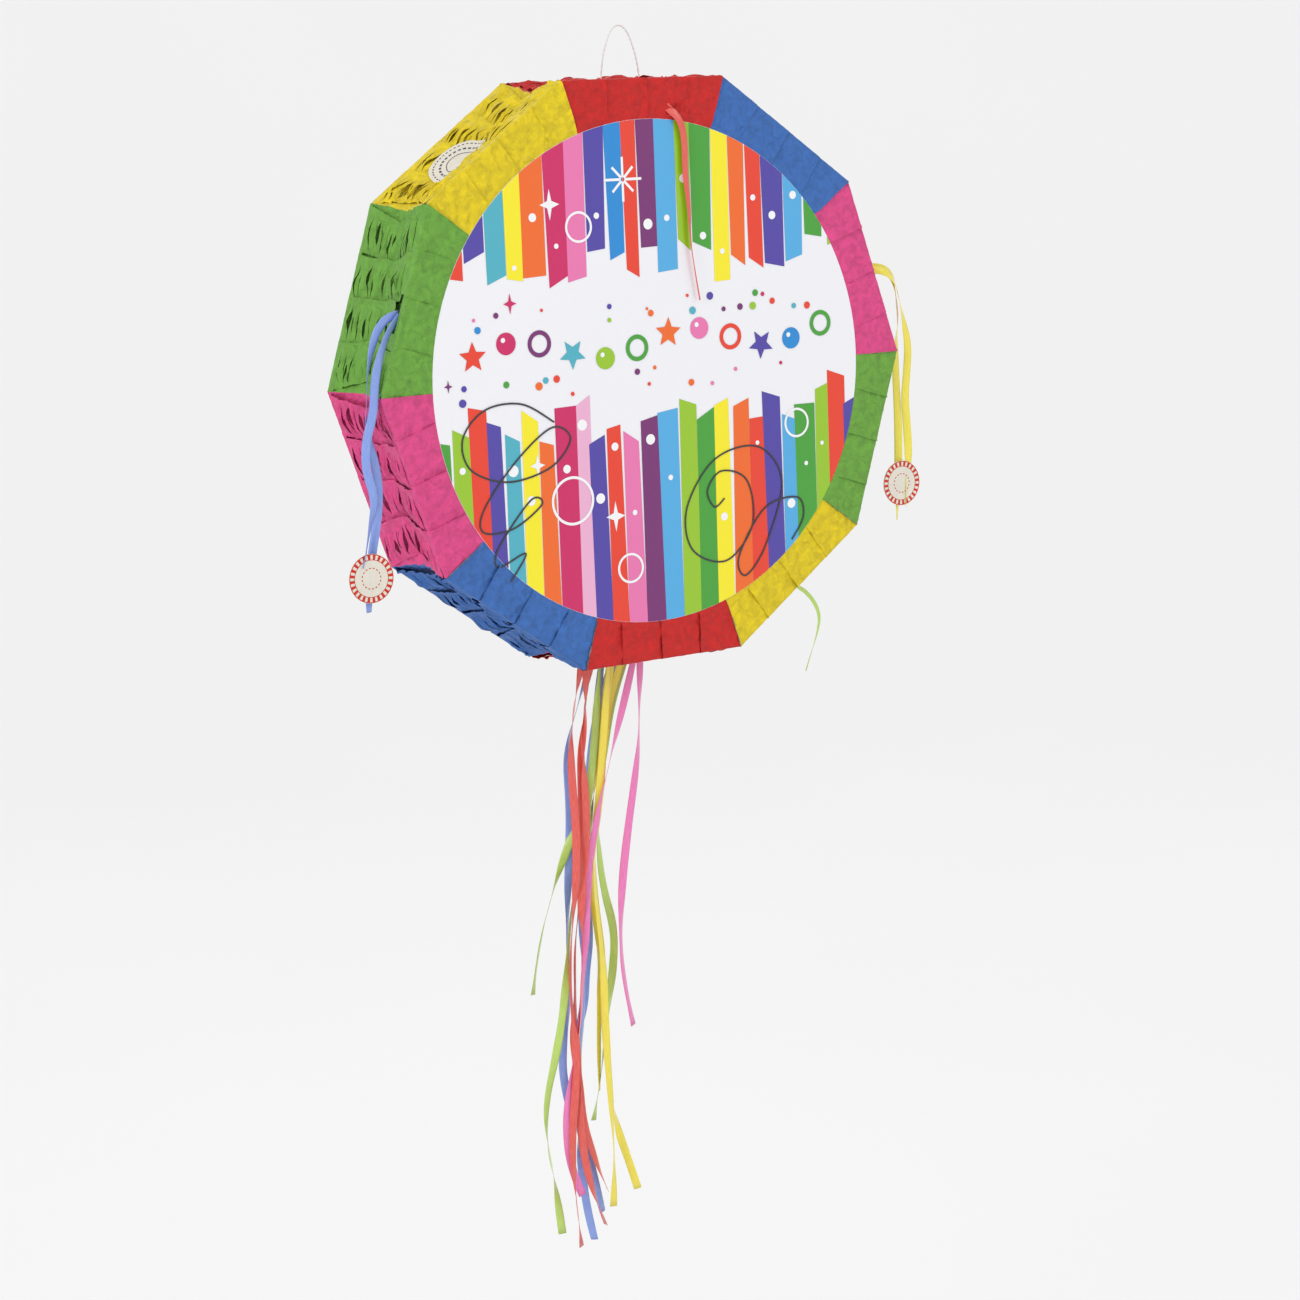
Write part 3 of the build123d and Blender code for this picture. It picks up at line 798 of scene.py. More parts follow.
def fringe_row(sheet, door_faces, number, row, lively, chance):
    """One strip of tissue: a glued header, then slits whose fingers part and bulge."""
    angle = side_angle(number)
    edges = finger_edges(chance)
    last = len(edges) - 1
    slits = []
    for index, edge in enumerate(edges):
        open_here = 0 < index < last and UNCUT_FRONT - RIM_Y < edge < RIM_Y - UNCUT_REAR
        start = chance.uniform(0.16, 0.42)
        slits.append({
            "start": start,
            "end": min(start + chance.uniform(0.42, 0.78), 0.98),
            "gap": chance.uniform(*SLIT_GAP) * open_here * lively,
            "left": chance.uniform(*LIP_LIFT) * open_here * lively,
            "right": chance.uniform(*LIP_LIFT) * open_here * lively,
            "drift": chance.uniform(-SLIT_DRIFT, SLIT_DRIFT) * open_here,
        })
    bulges = [chance.uniform(*BULGE) * lively for _ in range(last)]
    seed = chance.uniform(0, 50)
    tilt = chance.uniform(-STRIP_TILT, STRIP_TILT)
    steps = HEADER_STEPS + SLIT_STEPS + TAIL_STEPS

    def place(finger, column, share):
        across = column / FINGER_COLUMNS
        near, far = slits[finger], slits[finger + 1]
        y = edges[finger] + (edges[finger + 1] - edges[finger]) * across
        opened_near = swell(share, near["start"], near["end"])
        opened_far = swell(share, far["start"], far["end"])
        away = smooth(0.0, FLAT_MARGIN, RIM_Y - abs(y))
        y += near["gap"] * opened_near * (1 - across) - far["gap"] * opened_far * across
        y += (near["drift"] * opened_near * (1 - across) + far["drift"] * opened_far * across)
        width = half_width(y) + CARD
        wave = EDGE_WAVE * crumple(Vector((y, 0.0, 0.0)), 38.0, seed) + tilt * y / RIM_Y
        end_row = (row == 0 and share < 0.2) or (row == ROWS_A_SIDE - 1 and share > 0.9)
        along = -width + 2 * width * (row + share) / ROWS_A_SIDE + (0.0 if end_row else wave)
        lift = (1.9 * (1.0 - share) ** 2 + 0.25) * MM
        lift += 0.7 * MM * exp(-((share - 0.02) / 0.03) ** 2)
        lift += near["left"] * opened_near * (1 - across) ** 2 + far["right"] * opened_far * across ** 2
        lift += bulges[finger] * swell(share, 0.2, 0.98) * (0.45 + 0.55 * sin(pi * across))
        spot = Vector((along, y, number * 0.7 + row * 0.13))
        grain = Vector((along * 0.45, y * 1.3, number * 0.7 + row * 0.13))
        creased = 1.7 * MM * crease_ridge(grain, 85.0, seed) + 0.5 * MM * crumple(spot, 230.0, seed)
        creased *= 1.0 + 1.1 * smooth(0.75, 1.0, abs(along) / width)
        calm = 1.0 - 0.92 * label_calm(number, along, y) - 0.75 * door_calm(number, along, y)
        raised = (lift * away + abs(creased) * (0.25 + 0.75 * away)) * calm
        return on_drum(angle, rim_radius(y) + raised + TISSUE_LIFT, along, y), along

    kept = {}

    def vertex(finger, column, step):
        """Fingers share their edge except where a slit parts them."""
        parted = HEADER_STEPS[-1] < steps[step] < TAIL_STEPS[0]
        if column == FINGER_COLUMNS and finger + 1 < last and not parted:
            finger, column = finger + 1, 0
        key = (finger, column, step)
        if key not in kept:
            point, along = place(finger, column, steps[step])
            kept[key] = (sheet.add(point), slit_tissue(number, along, point.y))
        return kept[key]

    for finger in range(last):
        for column in range(FINGER_COLUMNS):
            for step in range(len(steps) - 1):
                corners = [
                    vertex(finger, column, step), vertex(finger, column + 1, step),
                    vertex(finger, column + 1, step + 1), vertex(finger, column, step + 1),
                ]
                if any(cut for _, cut in corners):
                    continue
                on_door = door_tissue(number, [sheet.points[index] for index, _ in corners])
                (door_faces if on_door else sheet.faces).append(tuple(index for index, _ in corners))


# --- tissue on the borders ------------------------------------------------------------------
FLAT_SHARE = 0.68            # of a strip's end: flat on the board, and the rest goes over its edge
# The section over the edge, in mm outwards from the board's edge and forwards from its face.
WRAP = (
    (0.1, 0.35), (0.35, 0.1), (0.5, -0.4), (0.55, -1.2), (0.5, -2.0), (0.4, -2.8), (0.15, -3.6),
    (-0.3, -4.3),
)
STRIP_LAP = 2.5 * MM
PUCKER_X, PUCKER_Z = 20 * MM, -66 * MM   # the hole that the front streamer comes out of


def pucker(x, z):
    """How far the tissue gathers forwards round the streamer's hole, x and z from it."""
    near = exp(-(x * x + z * z) / (11 * MM) ** 2)
    return (1.6 + 1.5 * sin(7 * atan2(z, x))) * MM * near


def border_strip(sheet, number, strip, front, chance):
    """One strip's end: over the board's edge and flat on its face to the printed disc."""
    angle = side_angle(number)
    seed = chance.uniform(0, 50)
    edge = BOARD_EDGE
    inner = DISC_RADIUS - 1.2 * MM
    outer_half = edge * tan(HALF_TURN)
    inner_half = inner * sin(HALF_TURN)
    low, high = strip / ROWS_A_SIDE, (strip + 1) / ROWS_A_SIDE
    skew = chance.uniform(-1.5, 1.5) * MM
    out = -1 if front else 1

    def bounds_at(half, straight):
        first = min(max(-straight + 2 * straight * low - STRIP_LAP, -half), half)
        second = min(max(-straight + 2 * straight * high, -half), half)
        return (
            -half if strip == 0 else first,
            half if strip == ROWS_A_SIDE - 1 else second,
        )

    def place(u, v):
        first_out, second_out = bounds_at(outer_half, outer_half)
        first_in, second_in = bounds_at(inner_half, outer_half)
        along_out = first_out + (second_out - first_out) * u
        along_in = first_in + (second_in - first_in) * u
        flat_share = min(v / FLAT_SHARE, 1.0)
        inner_rho = sqrt(inner * inner - along_in * along_in)
        rho = inner_rho + (edge - inner_rho) * flat_share
        along = along_in + (along_out - along_in) * flat_share
        along += skew * (1 - flat_share) * swell(u) * 0.6
        spot = Vector((along, rho * 0.6, number * 0.9 + strip * 0.17))
        away = smooth(0.02, 0.16, flat_share)
        lift = 0.16 * MM + (0.8 * MM * exp(-(u / 0.04) ** 2) + 0.5 * MM * (1 - u)) * away
        lift += away * 1.3 * MM * crease_ridge(spot, 105.0, seed)
        lift += away * 0.25 * MM * crumple(spot, 330.0, seed)
        lift = max(lift, 0.08 * MM)
        if v <= FLAT_SHARE:
            point = on_drum(angle, rho, along, out * (-FRONT_FACE + lift))
            if front:
                point.y -= pucker(point.x - PUCKER_X, point.z - PUCKER_Z) * away
            return point
        turn = (v - FLAT_SHARE) / (1 - FLAT_SHARE) * (len(WRAP) - 1)
        index = min(int(turn), len(WRAP) - 2)
        part = turn - index
        out_mm = WRAP[index][0] + (WRAP[index + 1][0] - WRAP[index][0]) * part
        deep_mm = WRAP[index][1] + (WRAP[index + 1][1] - WRAP[index][1]) * part
        wavy = 1.0 + 0.5 * crumple(spot, 60.0, seed) * smooth(0.3, 1.0, part + index - 3)
        grow = 0.35 * MM * (1 - u) + 0.4 * MM * abs(crumple(Vector((along, deep_mm * MM, seed)), 140.0))
        return on_drum(angle, edge + out_mm * MM + grow, along, out * (-FRONT_FACE + deep_mm * MM * wavy))

    sheet.grid(24, 34, place, flipped=not front)

    def tucked(u, v):
        """The strip's end, glued round the back of the edge as far as the side's hinge."""
        first, second = bounds_at(outer_half, outer_half)
        radius = edge - 0.1 * MM + (HINGE_RADIUS - 1.0 * MM - edge) * v
        return on_drum(angle, radius, first + (second - first) * u, out * (INNER_FACE - 0.12 * MM))

    sheet.grid(8, 2, tucked, flipped=front)


def corner_tissue(sheet, number, end):
    """The gathered tissue between the end of a side and the plane of the drum's corner."""
    angle = side_angle(number)
    pleats = 7

    def place(u, v):
        y = RIM_Y * (2 * v - 1)
        inner = half_width(y) - 3.0 * MM
        pleat = 0.8 * MM * sin(pi * pleats * 2 * v + 0.6) * swell(v)
        corner = smooth(0.0, 1.0, u)
        # The roughness is read on the corner's own line, so that both sides' tissue meets there.
        spot_corner = on_drum(angle, rim_radius(y), end * rim_radius(y) * tan(HALF_TURN), y)
        rough = 3.4 * MM * crumple(spot_corner, 62.0) * swell(v)
        radius = rim_radius(y) + (0.2 * MM + (1.3 * MM + rough + pleat) * corner)
        outer = radius * tan(HALF_TURN)
        along = inner + (outer - inner) * u
        radius -= 0.4 * MM * (1 - corner)
        return on_drum(angle, radius, end * along, y)

    sheet.grid(6, 40, place, flipped=end < 0)


# --- printed shapes -----------------------------------------------------------------------
INKS = {
    "white": (0.90, 0.90, 0.92), "black": (0.02, 0.02, 0.025), "red": (0.80, 0.035, 0.005),
    "orange": (0.86, 0.13, 0.0), "yellow": (0.92, 0.80, 0.0), "lime": (0.30, 0.55, 0.005),
    "green": (0.045, 0.34, 0.02), "teal": (0.06, 0.42, 0.53), "sky": (0.07, 0.40, 0.75),
    "blue": (0.0, 0.24, 0.65), "indigo": (0.065, 0.04, 0.36), "purple": (0.17, 0.01, 0.15),
    "magenta": (0.60, 0.0, 0.11), "pink": (0.80, 0.17, 0.42), "blush": (0.82, 0.42, 0.62),
}


def inside_disc(outline, radius):
    """The part of a flat outline within a circle about the middle."""
    corners = 180
    for k in range(corners):
        out_x, out_z = cos(2 * pi * k / corners), sin(2 * pi * k / corners)
        kept = []
        for (x0, z0), (x1, z1) in zip(outline, outline[1:] + outline[:1]):
            before = radius - (x0 * out_x + z0 * out_z)
            after = radius - (x1 * out_x + z1 * out_z)
            if before >= 0:
                kept.append((x0, z0))
            if (before < 0) != (after < 0):
                share = before / (before - after)
                kept.append((x0 + (x1 - x0) * share, z0 + (z1 - z0) * share))
        outline = kept
        if len(outline) < 3:
            return []
    return outline


BARS, SHAPES, WHITES, PEN = 1, 2, 3, 4      # levels of print, from the paper up
LEVEL_STEP = 0.13 * MM
LAYER_STEP = 0.0004 * MM                    # keeps overlapping shapes of one level apart


def circle(x, z, radius, corners):
    turns = [2 * pi * k / corners for k in range(corners)]
    return [(x + radius * cos(turn), z + radius * sin(turn)) for turn in turns]


class Print:
    """Flat printed shapes on a disc, each a little above the one printed before it."""

    def __init__(self, radius, face, mirrored):
        self.radius = radius
        self.face = face
        self.side = 1 if mirrored else -1
        self.sheet = Sheet()
        self.inks = []
        self.figures = []       # the place and radius of each ring and star
        self.layer = 0

    def free(self, x, z, radius):
        """Whether a round place is clear of every figure printed so far."""
        return all(
            sqrt((x - other_x) ** 2 + (z - other_z) ** 2) > radius + other_radius + 1.5 * MM
            for other_x, other_z, other_radius in self.figures
        )

    def outline(self, points, ink, level):
        """One flat shape with its corners at points, right and up from the disc's middle."""
        points = inside_disc(points, self.radius) if level == BARS else points
        if len(points) < 3:
            return
        self.layer += 1
        height = self.face + level * LEVEL_STEP + self.layer * LAYER_STEP
        ring = [
            self.sheet.add(Vector((CENTRE_X - self.side * x, self.side * height, CENTRE_Z + z)))
            for x, z in points
        ]
        self.sheet.faces.append(tuple(ring))
        self.inks.append(INKS[ink])

    def dot(self, x, z, radius, ink, level=SHAPES):
        if sqrt(x * x + z * z) + radius <= self.radius - 1 * MM:
            self.outline(circle(x, z, radius, 28), ink, level)

    def band(self, points, width, ink, level, closed=False):
        """A drawn line of even width through points."""
        count = len(points)
        pairs = []
        for k, (x, z) in enumerate(points):
            before = points[k - 1] if closed or k else points[0]
            after = points[(k + 1) % count] if closed or k + 1 < count else points[-1]
            dx, dz = after[0] - before[0], after[1] - before[1]
            length = sqrt(dx * dx + dz * dz) or 1.0
            nx, nz = -dz / length * width / 2, dx / length * width / 2
            pairs.append(((x - nx, z - nz), (x + nx, z + nz)))
        following = pairs[1:] + (pairs[:1] if closed else [])
        for (a, b), (c, d) in zip(pairs, following):
            self.outline([a, c, d, b], ink, level)

    def ring(self, x, z, radius, width, ink, level=WHITES):
        self.figures.append((x, z, radius))
        self.band(circle(x, z, radius, 40), width, ink, level, closed=True)

    def star(self, x, z, radius, ink, points=4, waist=0.32, level=WHITES, turn=0.0):
        """A pointed star, drawn narrower than it is tall when it has four points."""
        outline = []
        self.figures.append((x, z, radius))
        for k in range(2 * points):
            reach = radius * (1.0 if k % 2 == 0 else waist)
            direction = pi / 2 + pi * k / points + turn
            stretch = 0.72 if points == 4 else 1.0
            outline.append((x + reach * cos(direction) * stretch, z + reach * sin(direction)))
        self.outline(outline, ink, level)

    def burst(self, x, z, radius, ink, rays=8):
        self.figures.append((x, z, radius))
        for k in range(rays):
            c, s = cos(2 * pi * k / rays), sin(2 * pi * k / rays)
            reach = radius * (1.0 if k % 2 == 0 else 0.78)
            start, wide = radius * 0.1, radius * 0.06
            self.outline([
                (x + start * c - wide * s, z + start * s + wide * c),
                (x + start * c + wide * s, z + start * s - wide * c),
                (x + reach * c + wide * s, z + reach * s - wide * c),
                (x + reach * c - wide * s, z + reach * s + wide * c),
            ], ink, WHITES)

    def curl(self, points, width, ink="black"):
        """A thin looping pen line through a few places."""
        line = []
        count = len(points)
        for k in range(count - 1):
            a, b = points[max(k - 1, 0)], points[k]
            c, d = points[k + 1], points[min(k + 2, count - 1)]
            for step in range(10):
                t = step / 10
                line.append(tuple(
                    0.5 * (2 * b[i] + (c[i] - a[i]) * t + (2 * a[i] - 5 * b[i] + 4 * c[i] - d[i]) * t * t
                           + (3 * b[i] - a[i] - 3 * c[i] + d[i]) * t ** 3)
                    for i in range(2)
                ))
        line.append(points[-1])
        self.band(line, width, ink, PEN)

    def piece(self, name, body, slot, finish):
        """Everything printed, as one mesh that keeps each shape's ink as a colour."""
        made = new_piece(name, self.sheet.points, self.sheet.faces, finish, smooth_shading=False)
        layer = made.data.color_attributes.new("ink", "FLOAT_COLOR", "CORNER")
        for face, ink in zip(made.data.polygons, self.inks):
            for corner in face.loop_indices:
                layer.data[corner].color = (*ink, 1.0)
        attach(made, body)
        return made


TOP_BARS = (
    "green", "red", "indigo", "teal", "yellow", "orange", "magenta", "pink", "indigo", "blue", "red",
    "purple", "sky", "lime", "green", "yellow", "orange", "red", "indigo", "sky", "green", "lime", "magenta",
)
LOW_BARS = (
    "green", "lime", "red", "indigo", "teal", "yellow", "orange", "magenta", "blush", "indigo", "red", "pink",
    "purple", "sky", "lime", "green", "yellow", "orange", "red", "indigo", "sky", "green", "lime", "red",
    "indigo",
)
CONFETTI = ("magenta", "lime", "purple", "indigo", "red", "orange", "teal", "pink", "green", "blue")


def bars(art, inks, hanging, chance):
    """Upright bars with slanted ends, hanging from the top or rising from the bottom."""
    left = -art.radius - 4 * MM
    shares = [chance.uniform(0.78, 1.22) for _ in inks]
    for ink, share in zip(inks, shares):
        step = 2 * (art.radius + 4 * MM) * share / sum(shares)
        width = step * chance.uniform(0.98, 1.04)
        narrow = chance.uniform(0.78, 1.0)
        lean = chance.uniform(-0.012, 0.012)
        end = (80 if hanging else -32) * MM + chance.uniform(-17, 19) * MM
        slant = chance.uniform(-5, 5) * MM
        base = art.radius * (1.05 if hanging else -1.05)
        foot = lean * (base - end)
        inset = width * (1 - narrow) / 2
        if chance.random() < 0.35 and not hanging:
            inset = -inset * 0.6
        art.outline([
            (left, base), (left + width, base),
            (left + width - inset - foot, end + slant), (left + inset - foot, end - slant),
        ], ink, BARS)
        if chance.random() < 0.72:
            far = end + (base - end) * chance.uniform(0.06, 0.55)
            size = chance.uniform(1.7, 4.6) * MM
            if art.free(left + width * 0.5, far, size):
                art.dot(left + width * 0.5, far, size, "white")
        left += step


# The front's figures: x, z and radius in mm, then the line's width in mm or the ink.
FRONT_RINGS = ((-63, 116, 11, 1.9), (-78, -92, 18, 2.1), (-28, -150, 11, 1.9), (134, -50, 11, 1.9))
FRONT_STARS = (
    (-88, 134, 12, "white"), (-108, -62, 9, "white"), (-40, -108, 12, "white"),
    (-126, 62, 8, "magenta"), (-182, 4, 5, "purple"),
)


def front_art(art, chance):
    art.burst(-22 * MM, 150 * MM, 17 * MM, "white")
    for x, z, radius, width in FRONT_RINGS:
        art.ring(x * MM, z * MM, radius * MM, width * MM, "white")
    for x, z, radius, ink in FRONT_STARS:
        art.star(x * MM, z * MM, radius * MM, ink)
    bars(art, TOP_BARS, True, chance)
    bars(art, LOW_BARS, False, chance)
    party_row(art, chance)
    art.curl(CURL_LEFT, 1.4 * MM)
    art.curl(CURL_RIGHT, 1.4 * MM)


CURL_LEFT = (
    (-0.092, -0.030), (-0.120, -0.014), (-0.152, -0.016), (-0.172, -0.036), (-0.166, -0.060),
    (-0.134, -0.072), (-0.096, -0.064), (-0.078, -0.044), (-0.094, -0.034), (-0.126, -0.056),
    (-0.156, -0.090), (-0.158, -0.108), (-0.132, -0.108), (-0.106, -0.092), (-0.116, -0.088),
    (-0.146, -0.122), (-0.146, -0.136), (-0.122, -0.128), (-0.136, -0.148),
)
CURL_RIGHT = (
    (0.062, -0.104), (0.052, -0.110), (0.046, -0.096), (0.060, -0.082), (0.084, -0.092),
    (0.088, -0.128), (0.062, -0.154), (0.030, -0.142), (0.026, -0.108), (0.054, -0.072),
    (0.096, -0.066), (0.118, -0.096), (0.100, -0.146), (0.080, -0.168), (0.074, -0.152),
    (0.100, -0.116), (0.132, -0.110), (0.138, -0.126), (0.126, -0.144),
)


ROW_HEIGHT = 24 * MM         # of the row of shapes, above the disc's middle


def party_row(art, chance):
    """A loose row of plain party shapes across the white band, and small confetti."""
    inks = (
        "red", "magenta", "purple", "teal", "lime", "green", "orange", "pink", "red", "indigo", "blue",
        "green",
    )
    for k, ink in enumerate(inks):
        x = (-160 + 320 * k / (len(inks) - 1)) * MM
        z = ROW_HEIGHT + 9 * MM * sin(2 * pi * k / 5.3)
        if k % 3 == 0:
            art.star(x, z, 12 * MM, ink, points=5, waist=0.45, level=SHAPES, turn=0.2 * k)
        elif k % 3 == 1:
            art.dot(x, z, 8.5 * MM, ink)
            art.dot(x - 2.6 * MM, z + 2.8 * MM, 1.9 * MM, "white", level=WHITES)
        else:
            art.ring(x, z, 8.6 * MM, 3.4 * MM, ink, level=SHAPES)
    for k in range(34):
        x = chance.uniform(-175, 175) * MM
        z = ROW_HEIGHT + chance.choice((-1, 1)) * chance.uniform(19, 36) * MM
        size, ink = chance.uniform(1.2, 3.2) * MM, chance.choice(CONFETTI)
        if art.free(x, z, size):
            art.dot(x, z, size, ink)


def back_art(art, chance):
    for _ in range(14):
        x, z = chance.uniform(-120, 120) * MM, chance.choice((-1, 1)) * chance.uniform(80, 140) * MM
        radius = chance.uniform(8, 16) * MM
        if not art.free(x, z, radius):
            continue
        if chance.random() < 0.5:
            art.ring(x, z, radius, 1.9 * MM, "white")
        else:
            art.star(x, z, radius, "white")
    bars(art, tuple(reversed(TOP_BARS)), True, chance)
    bars(art, LOW_BARS[5:] + LOW_BARS[:5], False, chance)
    party_row(art, chance)
    art.curl(CURL_RIGHT, 1.4 * MM)


# --- property groups ------------------------------------------------------------------------
class PinataSizes(bpy.types.PropertyGroup):
    ribbon_width: FloatProperty(
        name="Ribbon width", description="Width of the flat curling ribbon",
        default=6.6 * MM, min=3 * MM, max=12 * MM, unit="LENGTH",
    )
    string_ply: FloatProperty(
        name="String ply", description="Radius of each of the two twisted plies of the loop",
        default=0.42 * MM, min=0.2 * MM, max=1 * MM, unit="LENGTH",
    )
    fringe_life: FloatProperty(
        name="Fringe liveliness", description="How far the cut fingers part and stand up",
        default=1.0, min=0.0, max=2.0,
    )
    backdrop_drop: FloatProperty(
        name="Floor drop", description="How far the floor is below the hanging loop",
        default=1.45, min=1.0, max=3.0, unit="LENGTH",
    )


def colour_property(name, description, default):
    return FloatVectorProperty(
        name=name, description=description, subtype="COLOR", size=3, min=0.0, max=1.0, default=default
    )


class PinataColours(bpy.types.PropertyGroup):
    tissue_red: colour_property("Red tissue", "Tissue of the top and bottom sides", (0.64, 0.018, 0.016))
    tissue_blue: colour_property("Blue tissue", "Tissue of the blue sides", (0.05, 0.165, 0.50))
    tissue_pink: colour_property("Pink tissue", "Tissue of the pink sides", (0.80, 0.075, 0.27))
    tissue_green: colour_property("Green tissue", "Tissue of the green sides", (0.165, 0.41, 0.055))
    tissue_yellow: colour_property("Yellow tissue", "Tissue of the yellow sides", (0.83, 0.64, 0.012))
    ribbon_red: colour_property("Red ribbon", "Red ribbons of the tail", (0.80, 0.06, 0.035))
    ribbon_blue: colour_property("Blue ribbon", "Periwinkle ribbons", (0.20, 0.32, 0.78))
    ribbon_lime: colour_property("Lime ribbon", "Lime ribbons", (0.48, 0.70, 0.10))
    ribbon_yellow: colour_property("Yellow ribbon", "Yellow ribbons", (0.93, 0.78, 0.03))
    ribbon_pink: colour_property("Pink ribbon", "Pink ribbons", (0.90, 0.17, 0.50))
    card: colour_property("Card", "White-lined card inside the drum", (0.74, 0.72, 0.68))
    paper: colour_property("Printed paper", "Unprinted paper of the two faces", (0.86, 0.86, 0.90))
    label: colour_property("Label paper", "Fill label and tags", (0.80, 0.76, 0.66))
    label_ink: colour_property("Label ink", "Grey printing on the fill label", (0.10, 0.10, 0.11))
    tag_ink: colour_property("Tag ink", "Red printing on the tags", (0.62, 0.035, 0.015))
    string: colour_property("String", "The hanging loop", (0.88, 0.88, 0.88))
    wood: colour_property("Toggle", "Wooden toggle inside the top", (0.62, 0.43, 0.25))


# --- operators ------------------------------------------------------------------------------
CAMERA_LENS = 82.2                       # mm
CAMERA_PLACE = (-1.2477, -1.9932, -0.0670)
CAMERA_TURNS = (32.20, 10.27, -2.18)     # azimuth, downward tilt and roll, in degrees
# Name, place, size and watts of each round lamp; all of them aim at the drum.
LAMPS = (
    ("key", (-2.3, -1.0, 1.1), 1.1, 22.0),
    ("fill", (1.2, -2.4, 0.9), 1.2, 7.0),
    ("back", (0.9, 2.2, 1.2), 1.2, 12.0),
)


class PINATA_OT_stage(bpy.types.Operator):
    """Camera, soft studio lights, pale floor with a curved backdrop"""

    bl_idname = "pinata.stage"
    bl_label = "Stage"

    def execute(self, context):
        scene = context.scene
        lens = bpy.data.cameras.new("camera")
        lens.sensor_width = 36.0
        lens.lens = CAMERA_LENS
        lens.clip_end = 100.0
        camera = bpy.data.objects.new("camera", lens)
        azimuth, elevation, roll = (radians(turn) for turn in CAMERA_TURNS)
        ahead = Vector((sin(azimuth) * cos(elevation), cos(azimuth) * cos(elevation), -sin(elevation)))
        level = Vector((cos(azimuth), -sin(azimuth), 0.0))
        upright = level.cross(ahead)
        right = level * cos(roll) + upright * sin(roll)
        up = upright * cos(roll) - level * sin(roll)
        turned = Matrix((right, up, -ahead)).transposed().to_4x4()
        camera.matrix_world = Matrix.Translation(CAMERA_PLACE) @ turned
        scene.collection.objects.link(camera)
        scene.camera = camera

        world = bpy.data.worlds.new("studio")
        world.use_nodes = True
        sky = world.node_tree.nodes["Background"]
        sky.inputs["Color"].default_value = (1.0, 1.0, 1.0, 1.0)
        sky.inputs["Strength"].default_value = 0.7
        scene.world = world
        scene.view_settings.view_transform = "Standard"

        self.backdrop(scene.pinata_sizes.backdrop_drop)
        for name, place, size, power in LAMPS:
            self.light(scene, name, place, size, power)
        return {"FINISHED"}

    def light(self, scene, name, place, size, power):
        lamp = bpy.data.lights.new(name, "AREA")
        lamp.shape = "DISK"
        lamp.size = size
        lamp.energy = power
        holder = bpy.data.objects.new(name, lamp)
        holder.location = place
        aim = Vector((CENTRE_X, 0.0, CENTRE_Z)) - Vector(place)
        holder.rotation_euler = aim.to_track_quat("-Z", "Y").to_euler()
        scene.collection.objects.link(holder)

    def backdrop(self, drop):
        """A round dish of a floor that curves up all round into a pale wall."""
        sheet = Sheet()
        floor_radius, bend_radius, wall_height = 4.0, 2.0, 5.0
        floor_share, bend_share = 0.4, 0.7

        def place(u, v):
            turn = 2 * pi * u
            if v < floor_share:
                radius, height = floor_radius * v / floor_share, 0.0
            elif v < bend_share:
                bend = (v - floor_share) / (bend_share - floor_share) * pi / 2
                radius = floor_radius + bend_radius * sin(bend)
                height = bend_radius * (1 - cos(bend))
            else:
                radius = floor_radius + bend_radius
                height = bend_radius + wall_height * (v - bend_share) / (1 - bend_share)
            return Vector((radius * cos(turn), radius * sin(turn), height - drop))

        sheet.grid(64, 30, place)
        finish, tree, shader = new_finish("studio_floor", 0.9, specular=0.1)
        cloud = noise_texture(tree, object_place(tree), 1.5)
        toned = mix_colours(tree, cloud.outputs[0], (0.29, 0.29, 0.29, 1.0), (0.31, 0.31, 0.31, 1.0))
        tree.links.new(toned, shader.inputs["Base Color"])
        shader.inputs["Emission Color"].default_value = (1.0, 1.0, 1.0, 1.0)
        shader.inputs["Emission Strength"].default_value = 0.62
        floor = new_piece("studio_sweep", sheet.points, sheet.faces, finish)


class PINATA_OT_ribbons(bpy.types.Operator):
    """The tail, the pull ribbons, the streamer and the loose ribbon"""

    bl_idname = "pinata.ribbons"
    bl_label = "Ribbons"

    def execute(self, context):
        width = context.scene.pinata_sizes.ribbon_width
        chance = Random(11)
        for name, points in TAIL_ROUTES.items():
            word = name.split("_")[1]
            piece, path, total = ribbon(
                name, word, points, width, chance.uniform(0.55, 1.15), chance.uniform(0, 6)
            )
            self.declare(piece, path, total, width, "ribbon_tail")
        for name, points in PULL_ROUTES.items():
            side, word = ("left", "blue") if name.startswith("left") else ("right", "yellow")
            piece, path, total = ribbon(name, word, points, width, 0.75, chance.uniform(0, 6))
            self.declare(piece, path, total, width, f"{side}_pull")
        piece, path, total = ribbon("front_streamer", "red", STREAMER_ROUTE, width, 0.5, 1.0, taper=0.75)
        self.declare(piece, path, total, width, "front_board")
        piece, path, total = ribbon("loose_ribbon", "lime", LOOSE_ROUTE, 4 * MM, 0.9, 2.0, taper=0.5)
        self.declare(piece, path, total, 4 * MM, "front_board")
        return {"FINISHED"}

    def declare(self, piece, path, total, width, body):
        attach(piece, body)


class PINATA_OT_hanging_loop(bpy.types.Operator):
    """The two-ply string loop"""

    bl_idname = "pinata.hanging_loop"
    bl_label = "Hanging loop"

    def execute(self, context):
        ply = context.scene.pinata_sizes.string_ply
        path = route_line("hanger_cord", LOOP_ROUTE, fineness=24)
        sheet = Sheet()
        for start in (0.0, pi):
            tube_points(
                sheet, path, ply, 8,
                lambda index: (
                    0.8 * ply * cos(index * 0.55 + start), 0.8 * ply * sin(index * 0.55 + start)
                ),
            )
        piece = sheet_piece("hanging_string", sheet, "white_string")
        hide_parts("hanger_cord")
        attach(piece, "hanger")
        return {"FINISHED"}


